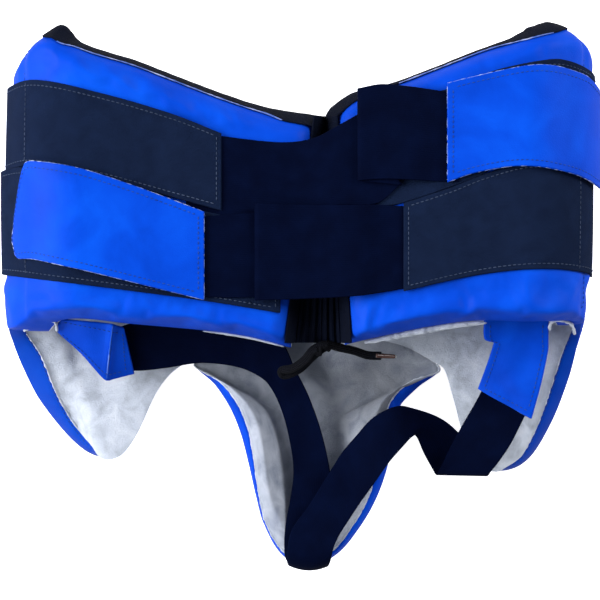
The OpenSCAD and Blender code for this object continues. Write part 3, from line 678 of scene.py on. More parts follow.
# Painted shade: the lining inside the cup is a darker copy of the suede, darkened further round a spot
# where shadow falls
CUP_SHADE_SPOT = (0.048, -0.062, 0.025, 0.012, 0.050, 0.45)
SHADED_SUEDE = suede_look(
    "suede_painted_shade", [(0.3, (0.29, 0.325, 0.42)), (0.5, (0.42, 0.46, 0.55)), (0.7, (0.52, 0.56, 0.65))],
    CUP_SHADE_SPOT)
# Pale fibres of the tabs' cut edges; the same colour paints the highlight line below the waist tape
PALE_EDGE_AND_HIGHLIGHT = fibre_look(
    "pale_cut_edge_and_highlight", [(0.35, (0.05, 0.13, 0.52)), (0.5, (0.15, 0.22, 0.57)), (0.65, (0.40, 0.46, 0.70))])
BLUE_EDGE = fibre_look(
    "blue_cut_edge", [(0.35, (0.004, 0.07, 0.48)), (0.5, (0.02, 0.10, 0.56)), (0.65, (0.10, 0.20, 0.64))])
LOOP = material(
    "loop_pile", nap, "Object",
    [(0.3, (0.0045, 0.010, 0.032)), (0.5, (0.0055, 0.012, 0.037)), (0.7, (0.0065, 0.014, 0.043))],
    (0.8, 0.95), 0.7, 0.0008, Specular_IOR_Level=0.04)
HOOK = material(
    "hook_tape", tape_weave, "UV", [(0.3, (0.002, 0.003, 0.006)), (0.7, (0.008, 0.010, 0.018))],
    (0.5, 0.7), 0.7, 0.0008, Specular_IOR_Level=0.15)
ELASTIC = material(
    "woven_elastic", elastic_weave, "UV",
    [(0.3, (0.0005, 0.0018, 0.012)), (0.5, (0.0007, 0.0024, 0.015)), (0.7, (0.001, 0.0032, 0.019))],
    (0.7, 0.9), 0.2, 0.0004, Specular_IOR_Level=0.02)
TAPE = material(
    "binding_tape", tape_weave, "UV", [(0.3, (0.0008, 0.002, 0.008)), (0.7, (0.0018, 0.004, 0.014))],
    (0.65, 0.85), 0.6, 0.0005, Specular_IOR_Level=0.06)
LACE = material(
    "lace_braid", tape_weave, "UV", [(0.3, (0.0008, 0.001, 0.003)), (0.7, (0.003, 0.004, 0.009))],
    (0.6, 0.8), 0.8, 0.0006, Specular_IOR_Level=0.12)
THREAD = thread_look("sewing_thread", [(0.3, (0.006, 0.035, 0.22)), (0.7, (0.014, 0.07, 0.36))])
PALE_THREAD = thread_look("pale_thread", [(0.3, (0.022, 0.038, 0.08)), (0.7, (0.06, 0.085, 0.15))])
AGLET = material(
    "aglet_film", grain, "Object", [(0.3, (0.06, 0.025, 0.02)), (0.7, (0.13, 0.06, 0.05))],
    (0.15, 0.3), 0.1, 0.0002, Coat_Weight=0.6)
PLASTIC = material(
    "cup_plastic", grain, "Object", [(0.3, (0.30, 0.31, 0.33)), (0.7, (0.38, 0.39, 0.41))],
    (0.4, 0.55), 0.15, 0.0002)
WHITE_TIP = material(
    "aglet_tip", nap, "Object", [(0.3, (0.6, 0.6, 0.6)), (0.7, (0.85, 0.85, 0.85))],
    (0.4, 0.6), 0.2, 0.0002)
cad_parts["cup_shell"].data.materials.clear()
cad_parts["cup_shell"].data.materials.append(PLASTIC)


# Lace, the only free cord
LACE_STEP = 1.2
AGLET_TAPER = 0.25
AGLET_WOBBLE = 0.12
AGLET_WIDE, AGLET_THICK = 1.15, 0.9
TIP_REACH = (-0.3, 1.0)
TIP_WIDE, TIP_THICK = 1.9, 1.6
# The knot: its turns, its lean, the drift of a turn, its flatness and how thin the lace is pulled
KNOT_TURN = np.linspace(0, 2 * np.pi * 1.25, 40)
KNOT_LEAN = math.radians(25)
KNOT_DRIFT = 0.2
KNOT_FLAT = 0.8
KNOT_PULLED = 0.8
# Its two turns of lace as (offset, lean, width, size)
KNOT_WRAPS = ((-2.4, 0.9, 4.6, 3.6), (1.6, -1.1, 4.4, 3.4))

lace_line = sweep(LACE_ROUTE, LACE_STEP)
lace = level_tube("lace_cord", lace_line, LACE_W, LACE_T, LACE)
before, last = np.array(LACE_ROUTE[-2:], float)
run = unit(last - before)
aglet_at = np.linspace(0, AGLET_LEN, 15)
aglet_line = last - run * AGLET_GRIP + run * aglet_at[:, None]
aglet_d = AGLET_D * (1 - AGLET_TAPER * (aglet_at / AGLET_LEN) ** 3) + AGLET_WOBBLE * np.sin(aglet_at * 4)
aglet = level_tube("lace_tip", aglet_line, aglet_d * AGLET_WIDE, aglet_d * AGLET_THICK, AGLET, 16)
end_line = aglet_line[-1] + run * np.linspace(*TIP_REACH, 4)[:, None]
lace_end = level_tube("lace_tip_end", end_line, TIP_WIDE, TIP_THICK, WHITE_TIP)


def wrap(offset, lean, wide, size):
    """A turn of lace wound round the knot."""
    sideways = lean * np.cos(KNOT_TURN) + offset * (1 + KNOT_TURN * KNOT_DRIFT)
    ring = np.stack([sideways, size * KNOT_FLAT * np.cos(KNOT_TURN), size * np.sin(KNOT_TURN)], -1)
    c, s = math.cos(KNOT_LEAN), math.sin(KNOT_LEAN)
    spun = ring @ np.array([[c, s, 0], [-s, c, 0], [0, 0, 1]])
    line = spun + KNOT_AT
    outward = unit(spun * [0.35, 1, 1])
    across = unit(np.cross(np.gradient(line, axis=0), outward))
    return tube("wrap", line, across, outward, wide, LACE_T * KNOT_PULLED, LACE)


lace_knot = joined("lace_bow_knot", [wrap(*row) for row in KNOT_WRAPS])


def tape_loop(side, route):
    """A loop of tape as wide as the lace, sewn under a wing's inner corner."""
    y = LOOP_Y[side]
    edges = [[x, y - LACE_W / 2, z, x, y + LACE_W / 2, z] for x, z in route]
    rows = sweep(edges, 0.8)
    t = shares(LACE_W, 1.0, 0.3)[None, :, None]
    grid = rows[:, None, :3] * (1 - t) + rows[:, None, 3:] * t
    return sheet_solid(SIDE_NAME[side] + "_lace_tape", grid, LOOP_T, TAPE)


left_tape_loop = tape_loop(LEFT, LEFT_LOOP)
right_tape_loop = tape_loop(RIGHT, RIGHT_LOOP)
for part in (lace, aglet, lace_end, lace_knot, right_tape_loop):
    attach(part, "right_wing")
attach(left_tape_loop, "left_wing")
stands_for(lace, "lace_cord", "lace")
stands_for(aglet, "aglet_plastic", "lace_aglet")
stands_for(lace_knot, "lace_cord", "lace_knot")
stands_for(left_tape_loop, "black_tape", "left_lace_loop")
stands_for(right_tape_loop, "black_tape", "right_lace_loop")


# Stitches
STITCH_LEN = 2.2
STITCH_PITCH = 3.2
STITCH_R = 0.3
STITCH_SIDES = 6
# Rings of one stitch as [share of its length, share of its radius, height in radii]
STITCH_RINGS = np.array([
    [0, 0.15, -0.5], [0.12, 0.75, 0], [0.35, 1, 0.35], [0.65, 1, 0.35], [0.88, 0.75, 0], [1, 0.15, -0.5],
])
# Frayed fibres: their step, the size of their tufts, how far and in which waves they stray, their flatness
FRAY_STEP = 1.1
FIBRE = 2.4
FRAY_SHIFT = 0.3
FRAY_WAVE = 3.1
FRAY_FLAT = 0.8


def stitches(name, runs, thread):
    """Rows of sewn thread: each run is a chain of points and the surface normals there."""
    a = np.linspace(0, 2 * np.pi, STITCH_SIDES, endpoint=False)
    place, plump, sunk = STITCH_RINGS.T
    wide = plump[:, None, None] * STITCH_R
    one = grid_faces(len(place), STITCH_SIDES, closed=True).tolist()
    first = list(range(STITCH_SIDES))
    last = [(len(place) - 1) * STITCH_SIDES + k for k in first]
    one += [first, last[::-1]]
    points, faces = [], []
    for line, normal in runs:
        at = along(line)
        for start in np.arange(0.5, at[-1] - STITCH_LEN, STITCH_PITCH):
            x = start + place * STITCH_LEN
            centre = np.column_stack([np.interp(x, at, line[:, k]) for k in range(3)])
            up = unit(np.column_stack([np.interp(x, at, normal[:, k]) for k in range(3)]))
            across = unit(np.cross(up, unit(centre[-1] - centre[0])))
            ring = (centre[:, None] + up[:, None] * sunk[:, None, None] * STITCH_R
                    + across[:, None] * np.cos(a)[None, :, None] * wide
                    + up[:, None] * np.sin(a)[None, :, None] * wide)
            base = len(points) * len(place) * STITCH_SIDES
            faces.extend([base + k for k in face] for face in one)
            points.append(ring.reshape(-1, 3))
    return piece(name, np.concatenate(points), faces, thread)


def lifted(points, normal, lift):
    """A chain raised off the upper side of a sheet, with the normals there."""
    if normal[:, 2].mean() < 0:
        normal = -normal
    return points + normal * lift, normal


def on_grid(grid, u, v):
    """Points and normals at shares along and across a grid."""
    rows, cols = grid.shape[:2]
    i, j = np.clip(u, 0, 1) * (rows - 1), np.clip(v, 0, 1) * (cols - 1)
    i0, j0 = np.minimum(i.astype(int), rows - 2), np.minimum(j.astype(int), cols - 2)
    f, g = (i - i0)[:, None], (j - j0)[:, None]

    def read(values):
        return ((values[i0, j0] * (1 - f) + values[i0 + 1, j0] * f) * (1 - g)
                + (values[i0, j0 + 1] * (1 - f) + values[i0 + 1, j0 + 1] * f) * g)

    return read(grid), unit(read(normals_of(grid)))


def border(grid, inset, lift, sides):
    """Chains along chosen sides of a grid, a distance inside its rim: s start, e end, l low, h high."""
    uv = grid_uv(grid)
    length, width = uv[-1, 0, 0], uv[0, -1, 1]
    t = np.linspace(0, 1, 160)
    near_u = np.interp([inset, length - inset], uv[:, 0, 0], np.linspace(0, 1, len(uv)))
    near_v = np.interp([inset, width - inset], uv[0, :, 1], np.linspace(0, 1, uv.shape[1]))
    run_u = near_u[0] + (near_u[1] - near_u[0]) * t
    run_v = near_v[0] + (near_v[1] - near_v[0]) * t
    lines = {"s": (near_u[0] + 0 * t, run_v), "e": (near_u[1] + 0 * t, run_v),
             "l": (run_u, near_v[0] + 0 * t), "h": (run_u, near_v[1] + 0 * t)}
    return [lifted(*on_grid(grid, *lines[key]), lift) for key in sides]


def fuzzy_line(name, line, size, seed, fibre, rough=0.7):
    """Frayed fibres along an edge."""
    across, up = side_vectors(line)
    fuzz = size * (1 + rough * ripple(line, FIBRE, seed))
    shift = up * (FRAY_SHIFT * size * ripple(line, FRAY_WAVE, seed + 4))[:, None]
    return tube(name, line + shift, across, up, fuzz, FRAY_FLAT * fuzz, fibre, 7)


# Wings
HIP_SEAM = {LEFT: 27, RIGHT: 24}
HIP_SEAM_HALF = 3.0
HIP_SEAM_DEPTH = 1.4
HELD_MARGIN = 9
# The simulated cloth: its longest move, its frames and its settings
PUFF_REACH = 3.5
PUFF_FRAMES = 20
PUFF = {
    "quality": 6, "mass": 0.3, "bending_stiffness": 0.6, "use_pressure": True,
    "uniform_pressure_force": 4.0, "shrink_min": -0.022,
}
# Fullness of the hips as [Y, swell], and the way along the skin over which it fades
HIP_SWELL = {
    LEFT: [[-30, 4], [0, 6], [15, 6.5], [60, 5], [100, 3], [150, 0], [180, 0]],
    RIGHT: [[-30, -4.5], [0, -4.5], [30, -4.5], [70, -4.5], [100, -1.5], [150, 0], [180, 0]],
}
HIP_SWELL_RUN = 20
# Share of the swell that the strips leave at the hip, and the way along the skin over which it fades
UNDER_STRIP = 0.6
HIP_BOW_RUN = 12
# Depth of the turned lower edge, its share at the side seam and where along the skin it grows
LOW_EDGE = 8
LOW_EDGE_SHARE = 0.25
LOW_EDGE_RUN = (14, 44)
# Slow waves of the skin and puckers of its lower edge, as (height, size), and the puckers' reach
SKIN_WAVE = (0.6, 34)
PUCKER = (0.4, 6.5)
PUCKER_REACH = 6
# Distances from the sewn edges between which the skin comes free, for the creases and for the cloth
CREASE_FREE = (6, 12)
CLOTH_FREE = (7, 12)
LIFT_LIMITS = (-2.5, 2.0)
# Shares of the padding between which the skin lifts, and the share below which it is held
LIFT_SHARES = (0.3, 1.0)
HELD_SHARE = 0.35
# Shares of the hip seam's groove between which the skin is held
SEAM_HELD = (0.2, 0.6)

# Soft creases of the leather as [from X, from Y, to X, to Y, half width, height], and their depth
CREASE_DEPTH = 1.5
WING_CREASES = {
    LEFT: [
        [-128, 146, -98, 128, 5, 1.2], [-100, 140, -70, 118, 6, 1.0], [-150, 155, -128, 140, 5, 0.9],
        [-60, 125, -30, 112, 6, 0.8], [-160, 0, -120, -6, 5, 0.8], [-110, -2, -60, -14, 6, 0.9],
        [-50, -10, -12, -28, 5, 1.0], [-13, 12, -9, -30, 3, 1.4], [-5, 10, -3, -28, 2.5, 1.2],
        [-12, 118, -9, 104, 3, 1.2], [-3, 116, -1, 104, 2.5, 1.0],
    ],
    RIGHT: [
        [150, 158, 118, 148, 5, 0.9], [100, 140, 70, 134, 6, 0.8], [60, 130, 42, 118, 5, 0.7],
        [150, -2, 110, -4, 5, 0.7], [100, -2, 60, -12, 6, 0.9], [44, 4, 40, -20, 3.5, 1.0],
        [34, 6, 31, -20, 2.5, 1.2],
    ],
}
# How a crease fades at its ends, and the trough beside it: its place in half widths and its depth
CREASE_FADE = 0.25
TROUGH_AT = 1.7
TROUGH_DEPTH = 0.5

# Bands of the wings that straps hold down, as [distance along the skin, lower Y, upper Y]
HELD_BANDS = {
    LEFT: [STRAP_SPANS["left_upper_strip"] + [[226, 54, 114]],
           STRAP_SPANS["left_lower_strip"][:-1] + [[178, -6, 63], [226, -10, 65]]],
    RIGHT: [STRAP_SPANS["right_upper_strip"] + [[197, 60, 122]],
            STRAP_SPANS["right_lower_strip"] + [[197, -2, 65]]],
}


def under_straps(side, s, y):
    """Share from 0 to 1 of how firmly a strap holds the padding down."""
    held = np.zeros(np.broadcast(s, y).shape)
    for band in HELD_BANDS[side]:
        edges = curve(band, s)
        above = smooth_step(y, edges[..., 1] - HELD_MARGIN, edges[..., 1] - 1)
        below = smooth_step(-y, -edges[..., 2] - HELD_MARGIN, -edges[..., 2] - 1)
        held = np.maximum(held, above * below)
    return held


def wing_grid(side, roll_cols, flat_cols, mid_rows, turned):
    """Distances along the skin, Y and the share of the padding on a grid over a wing."""
    angle = np.radians(np.linspace(0, 90, turned))
    turn = 1 - np.cos(angle)
    edge = EDGE_R * turn
    mid = np.linspace(0, 1, mid_rows + 2)[1:-1]
    row_share = np.concatenate([np.sin(angle), np.ones(mid_rows), np.sin(angle)[::-1]])
    inner = WING_WIDTH - EDGE_R - LOW_EDGE
    v = np.concatenate([LOW_EDGE * turn, LOW_EDGE + inner * mid, WING_WIDTH - edge[::-1]]) / WING_WIDTH
    tip = wing_tip(side, v)
    roll = np.linspace(0, ROLL_LEN, roll_cols, endpoint=False)
    flat = np.linspace(0, 1, flat_cols, endpoint=False)
    s = np.concatenate([
        np.repeat(roll[:, None], len(v), 1),
        ROLL_LEN + flat[:, None] * (tip - EDGE_R - ROLL_LEN),
        tip - edge[::-1, None],
    ])
    col_share = np.concatenate([np.ones(roll_cols + flat_cols), np.sin(angle)[::-1]])
    lo, hi = wing_edges(side, s)
    low_edge = LOW_EDGE * (LOW_EDGE_SHARE + (1 - LOW_EDGE_SHARE) * smooth_step(s[:, :1], *LOW_EDGE_RUN))
    middle = slice(turned, -turned)
    y = np.concatenate([
        lo[:, :turned] + low_edge * turn,
        lo[:, middle] + low_edge + (hi - lo - EDGE_R - low_edge)[:, middle] * mid,
        hi[:, -turned:] - edge[::-1],
    ], 1)
    return s, y, row_share[None] * col_share[:, None]


def crease(points, rows):
    """Sum of soft ridges along segments, each beside a shallow trough."""
    total = np.zeros(points.shape[:-1])
    for x0, y0, x1, y1, half, tall in rows:
        a, b = np.array([x0, y0], float), np.array([x1, y1], float)
        d = b - a
        t = ((points[..., :2] - a) @ d) / (d @ d)
        off = points[..., :2] - a - np.clip(t, 0, 1)[..., None] * d
        reach = np.linalg.norm(off, axis=-1)
        fade = smooth_step(t, -CREASE_FADE, CREASE_FADE) * smooth_step(1 - t, -CREASE_FADE, CREASE_FADE)
        total += tall * fade * (bell(reach, half) - TROUGH_DEPTH * bell(reach - TROUGH_AT * half, half))
    return total


def applied(made, modifier):
    """The object with one modifier made final."""
    bpy.context.view_layer.objects.active = made
    bpy.ops.object.modifier_apply(modifier=modifier.name)


def puffed(made, held):
    """Lets a padded skin wrinkle as simulated cloth under light pressure, while its held points stay."""
    start = np.array([v.co for v in made.data.vertices])
    pins = made.vertex_groups.new(name="held")
    steps = np.round(held * 10) / 10
    for share in np.unique(steps):
        pins.add(np.flatnonzero(steps == share).tolist(), float(share), "REPLACE")
    cloth = made.modifiers.new("puff", "CLOTH")
    cloth.settings.vertex_group_mass = pins.name
    for key, value in PUFF.items():
        setattr(cloth.settings, key, value)
    cloth.settings.effector_weights.gravity = 0
    scene = bpy.context.scene
    for frame_number in range(1, PUFF_FRAMES + 1):
        scene.frame_set(frame_number)
    puffy = made.evaluated_get(bpy.context.evaluated_depsgraph_get())
    end = np.array([v.co for v in puffy.data.vertices])
    made.modifiers.remove(cloth)
    made.vertex_groups.remove(pins)
    scene.frame_set(1)
    move = end - start
    size = np.linalg.norm(move, axis=1, keepdims=True)
    move *= np.minimum(1, PUFF_REACH * MM / np.maximum(size, 1e-9))
    made.data.vertices.foreach_set("co", (start + move).ravel())
    made.data.update()


def wing_leather(side):
    """Padded skin of a wing: drawn creases first, then the wrinkles of the simulated cloth."""
    s, y, share = wing_grid(side, 20, 40, 40, 6)
    lo, hi = wing_edges(side, s)
    from_edge = np.minimum(hi - y, wing_tip(side, (y - lo) / (hi - lo)) - s)
    bulge = wing_bulge(side, s, y)
    base = wing_point(side, s, y, bulge * share)
    strapped = under_straps(side, s, y)
    slow = SKIN_WAVE[0] * ripple(base * [1, 1.6, 1], SKIN_WAVE[1], side * 3.1)
    pucker = PUCKER[0] * line_noise(s, PUCKER[1], side * 5.3) * bell(y - lo - PUCKER_REACH, PUCKER_REACH)
    lift = CREASE_DEPTH * crease(base, WING_CREASES[side]) + slow + pucker
    lift = np.clip(lift * smooth_step(from_edge, *CREASE_FREE) * (1 - strapped), *LIFT_LIMITS)
    seam = bell(s - HIP_SEAM[side], HIP_SEAM_HALF)
    pressed = strapped * (1 - UNDER_STRIP * bell(s, HIP_BOW_RUN))
    swell = height(HIP_SWELL[side], y) * bell(s, HIP_SWELL_RUN) * (1 - pressed)
    lift = (lift - HIP_SEAM_DEPTH * seam + swell) * smooth_step(share, *LIFT_SHARES)
    grid = wing_point(side, s, y, np.maximum(bulge * share + lift, 0))
    held = np.maximum(strapped, smooth_step(seam, *SEAM_HELD))
    held = np.maximum(held, 1 - smooth_step(from_edge, *CLOTH_FREE))
    held[share < HELD_SHARE] = 1
    held[0] = 1
    if side == LEFT:
        grid, held = grid[:, ::-1], held[:, ::-1]
    made = open_grid(SIDE_NAME[side] + "_wing_leather", grid, BLUE)
    puffed(made, held.ravel())
    finer = made.modifiers.new("finer", "SUBSURF")
    finer.levels = 1
    applied(made, finer)
    made.data.shade_smooth()
    return made


# The lining's slow waves as (height, size), how low it hangs, and its gaps at the lower edge and the side
LINING_WAVE = (1.2, 30)
LINING_DROP = 0.8
LINING_INSET = 1.5
SIDE_GAP = 0.6
# Where the raw edge of a wing's lining shows below the leather: from and to along the skin, thickness
RAW_EDGE = {LEFT: (150, 203, 1.5), RIGHT: (96, 176, 4.4)}
# Its place below the edge and above the lining, in thicknesses
RAW_BELOW, RAW_ABOVE = 0.35, 0.6
# Ends of the hip seam, from the wing's lower and upper edge, and how deep its thread is sunk
HIP_STITCH_ENDS = (8, 6)
HIP_STITCH_SUNK = 1.0


def wing_suede(side):
    """Lining of a wing."""
    s, y, share = wing_grid(side, 24, 60, 40, 5)
    spot = np.stack([s, y, 0 * s], -1)
    drop = -LINING_DROP - LINING_WAVE[0] * ripple(spot, LINING_WAVE[1], 9.1) * smooth_step(share, 0.2, 0.9)
    y[:, 0] += LINING_INSET
    grid = wing_point(side, np.maximum(s, SIDE_GAP), y, drop)
    return sheet_solid(SIDE_NAME[side] + "_wing_suede", grid, LINING_T, SUEDE)


def raw_edge(side):
    """Fuzzy raw edge of a wing's lining, plumpest in its middle."""
    first, last, thick = RAW_EDGE[side]
    s = np.arange(first, last, FRAY_STEP)
    line = wing_point(side, s, height(WING_BOTTOM[side], s) - RAW_BELOW * thick, RAW_ABOVE * thick)
    plump = np.sin(np.pi * (s - first) / (last - first)) ** 0.4
    return fuzzy_line(SIDE_NAME[side] + "_wing_suede_fray", line, thick * plump + 0.3, 5.0, SUEDE, 0.35)


def hip_stitches(side):
    """The vertical seam where a wing's skin turns over the hip."""
    at = HIP_SEAM[side]
    low, high = (float(v) for v in wing_edges(side, at))
    y = np.linspace(low + HIP_STITCH_ENDS[0], high - HIP_STITCH_ENDS[1], 120)
    line = wing_point(side, at, y, wing_height(side, np.full(len(y), at), y) - HIP_STITCH_SUNK)
    inside = wing_point(side, at, y, 0)
    return stitches(SIDE_NAME[side] + "_hip_stitches", [(line, unit(line - inside))], THREAD)


def with_wing(part):
    """The part with its placement baked into its points."""
    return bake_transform(part)


for side in (LEFT, RIGHT):
    name = SIDE_NAME[side]
    leather, suede = wing_leather(side), wing_suede(side)
    for part in (leather, suede, hip_stitches(side), raw_edge(side)):
        with_wing(part)
    stands_for(leather, "blue_leather", name + "_wing_cover", name + "_wing_foam")
    stands_for(suede, "suede_lining", name + "_wing_lining")


# Black tape over the waist edges: places across the edge as [reach beyond it, height above the lining]
TAPE_T = 0.8
TAPE_COLS = 26
TAPE_OVER = [
    [1.3, 2], [1.1, 5], [0.4, 7.5], [-0.4, 10], [-1.3, 12.4], [-2.5, 14.9], [-3.6, 16.6], [-4.6, 17.9],
]
TAPE_PROFILE = [[-3, -1.2], [-1.2, -1.7], [0.7, -1.3]] + TAPE_OVER
# Share of that way the tape covers, as [distance along the skin, share]
TAPE_COVER = {
    LEFT: [[0, 0.6], [30, 0.62], [40, 0.95], [60, 1.0], [74, 0.85], [190, 0.85], [205, 1.0], [230, 1.0]],
    RIGHT: [[0, 0.6], [22, 0.6], [34, 0.85], [50, 1.0], [68, 1.0], [85, 0.72], [99, 0.64], [160, 0.62],
            [182, 0.9], [198, 1.0]],
}
# Height at which an extra reach pushes the tape out, and its half width
TAPE_PUSH = (5, 7)
# Where the tape comes out of the hip seam, along the skin; before that it is tucked in
TAPE_START = {LEFT: 36, RIGHT: 34}
TAPE_TUCK = 4.5
TAPE_TUCK_RUN = (-8, -2)
# Where the tape bunches at the hip: distance along the skin, half width, height
TAPE_BUNCH = {LEFT: (50, 12, 3.0), RIGHT: (60, 16, 1.6)}
TAPE_WAVE = 8
# Where the tape stands out before a wing's end, and how far
TAPE_END_RUN = (-46, -10)
TAPE_END_REACH = 1.5
# Length that turns down round a wing's corner, where that starts, and its reach
TAPE_TURN = 16
TAPE_TURN_RUN = (-4, 4)
TAPE_TURN_REACH = 2.0
# Painted highlight: a pale fuzzy line below the tape, where the seam's ridge catches light; its run along
# the skin, its height over the edge and its thickness
HIGHLIGHT_RUN = {LEFT: (57, 203), RIGHT: (52, 154)}
HIGHLIGHT_LIFT = 0.4
HIGHLIGHT_D = 0.75
# Gap between the front's tape and the side seams
FRONT_TAPE_GAP = 4


def tape_grid(edge, out, up, extra, cover):
    """Tape folded over an edge by a share of its way, standing out further by an extra reach."""
    profile = np.array(TAPE_PROFILE, float)
    way = along(profile)
    at = way[-1] * np.linspace(0, 1, TAPE_COLS) * cover[:, None]
    reach, tall = (np.interp(at, way, column) for column in profile.T)
    reach = reach + extra[:, None] * bell(tall - TAPE_PUSH[0], TAPE_PUSH[1])
    return edge[:, None] + out[:, None] * reach[..., None] + up[:, None] * tall[..., None]


def wing_tape(side):
    """Grid of the tape along a wing's waist edge and down round its end, and the line below it for the pale
    fuzz that paints a highlight.
    """
    tip = WING_TIP[side][1]
    s = np.linspace(1, tip - 2, 260)
    low_y, corner_y = (float(v) for v in wing_edges(side, tip))
    down = np.linspace(corner_y - 2, corner_y - TAPE_TURN, 12)
    route = even(np.concatenate([
        np.stack([s, height(WING_TOP[side], s)], -1),
        np.stack([wing_tip(side, (down - low_y) / (corner_y - low_y)), down], -1),
    ]), 1.0)
    s, y = route.T
    at = along(route)
    edge = wing_point(side, s, y, 0)
    up = unit(wing_point(side, s, y, 5) - edge)
    out = unit(np.cross(unit(np.gradient(edge, axis=0)), up)) * side
    place, half, tall = TAPE_BUNCH[side]
    bunch = bell(s - place, half)
    end = TAPE_END_REACH * smooth_step(s - tip, *TAPE_END_RUN)
    tucked = TAPE_TUCK * (1 - smooth_step(s - TAPE_START[side], *TAPE_TUCK_RUN))
    extra = tall * bunch + end - tucked + (0.3 + bunch) * line_noise(at, TAPE_WAVE, 8.8 + side)
    turned = smooth_step(at - at[-1] + TAPE_TURN, *TAPE_TURN_RUN)
    extra = extra * (1 - turned) + TAPE_TURN_REACH * turned
    tape = tape_grid(edge, out, up, extra, height(TAPE_COVER[side], s))
    first, last = HIGHLIGHT_RUN[side]
    seen = (s > first) & (s < last)
    return tape, tape[seen, -1] + HIGHLIGHT_LIFT * up[seen]


def front_tape():
    """Tape along the whole waist edge of the front."""
    end = SIDE_SEAM - FRONT_TAPE_GAP
    s = np.linspace(-end, end, 300)
    y = height(FRONT_TOP, s)
    edge = front_point(s, y, 0)
    up = unit(front_point(s, y, 5) - edge)
    out = -unit(np.cross(unit(np.gradient(edge, axis=0)), up))
    return sheet_solid("front_tape", tape_grid(edge, out, up, 0 * s, 0 * s + 1), TAPE_T, TAPE)


for side in (LEFT, RIGHT):
    name = SIDE_NAME[side] + "_wing_tape"
    grid, line = wing_tape(side)
    tape = sheet_solid(name, grid, TAPE_T, TAPE)
    # A pale fuzzy line below the tape paints the highlight along the seam's ridge
    highlight_line = fuzzy_line(name + "_painted_highlight", even(line, FRAY_STEP), HIGHLIGHT_D, side * 1.9, PALE_EDGE_AND_HIGHLIGHT)
    with_wing(tape)
    with_wing(highlight_line)
    stands_for(tape, "black_tape", SIDE_NAME[side] + "_wing_binding")
tape = front_tape()
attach(tape, "front")
stands_for(tape, "black_tape", "front_binding")


# Gathered black cloth sewn over the wing ends, which closes the back
FLAP_MIDDLE = (11, 13)
FLAP_SLIT = 0.15
FLAP_ENDS = (-27.5, 119)
FLAP_LIFT = 2.6
FLAP_LOW = -0.5
FLAP_RISE = 12
FLAP_ROOM = 0.4
FLAP_T = 1.2
# The gathers: their number and height, their wander as (turn, size), and the runs over which they grow
GATHERS = 3.0
GATHER_TALL = 1.1
GATHER_WANDER = (1.6, 40)
GATHER_WIDTH = 12
GATHER_START = 0.15


def flap_grid(side):
    """Rows up the back; each runs over a wing's rounded end and then in gathers to the middle line."""
    v = shares(FLAP_ENDS[1] - FLAP_ENDS[0], 2.5)[:, None]
    y = FLAP_ENDS[0] + (FLAP_ENDS[1] - FLAP_ENDS[0]) * v
    low, high = height(WING_BOTTOM[side], WING_TIP[side][0]), height(WING_TOP[side], WING_TIP[side][1])
    end = side * (SIDE_SEAM - wing_tip(side, (y - low) / (high - low)))
    over = sweep(TAPE_OVER[::-1], 1.2)
    wrap_x = end - side * (over[:, 0] + FLAP_ROOM)
    near = wrap_x[:, -1:]
    u = np.linspace(0, 1, 36)[None, 1:]
    middle = FLAP_MIDDLE[0] + (FLAP_MIDDLE[1] - FLAP_MIDDLE[0]) * v + side * FLAP_SLIT
    wander = GATHER_WANDER[0] * line_noise(y[:, 0], GATHER_WANDER[1], side * 2.6)
    tall = GATHER_TALL * np.minimum(1, np.abs(middle - near) / GATHER_WIDTH)
    rest = FLAP_LOW + (FLAP_LIFT - FLAP_LOW) * smooth_step(y - FLAP_ENDS[0], 0, FLAP_RISE)
    h = rest + tall * np.sin(2 * np.pi * GATHERS * u + wander[:, None]) * smooth_step(u, 0, GATHER_START)
    x = np.concatenate([wrap_x, near + (middle - near) * u], 1)
    h = np.concatenate([np.broadcast_to(over[:, 1], wrap_x.shape), h], 1)
    return wing_point(side, SIDE_SEAM - side * x, np.broadcast_to(y, x.shape), h)


for side in (LEFT, RIGHT):
    name = SIDE_NAME[side] + "_back_flap"
    grid = flap_grid(side)
    flap = sheet_solid(name + "_cloth", grid if side == RIGHT else grid[:, ::-1], FLAP_T, TAPE)
    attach(flap, SIDE_NAME[side] + "_wing")
    stands_for(flap, "black_elastic", name)


# Strips sewn to the wings, strap tabs and their hook patches
TUCK_RISE = ELASTIC_T + 0.4
TUCK_START = 42
TUCK_RAMP = 14
STRAP_WIDTH = 60
# Small waves of a strap, stronger along its rim: the rim's run, their share inside it and their size
RIM_RUN = 4
INSIDE_WAVE = 0.3
STRAP_WAVE = 11
# How far the strips bow out over the hip, and where along the skin
STAND_OFF = {"left_upper_strip": 2.5, "left_lower_strip": 5.5, "right_lower_strip": -2.4}
HIP_BOW = 4
# The cross seam of the strips, along the skin
STRIP_SEAM = {LEFT: 34, RIGHT: 35}
# Way of the seams from the edge, and the thread's height over strips and over tabs
STRIP_SEAM_INSET = 3.0
TAB_SEAM_INSET = 3.6
STRIP_THREAD = STRIP_T / 2 + 0.1
TAB_THREAD = TAB_T / 2 + 0.05
# Fibres of a cut leather edge: width, share of the leather's thickness, mean and spread of their fuzz
CUT_WIDE = 1.5
CUT_THICK = 0.75
CUT_FUZZ = (0.75, 0.45)


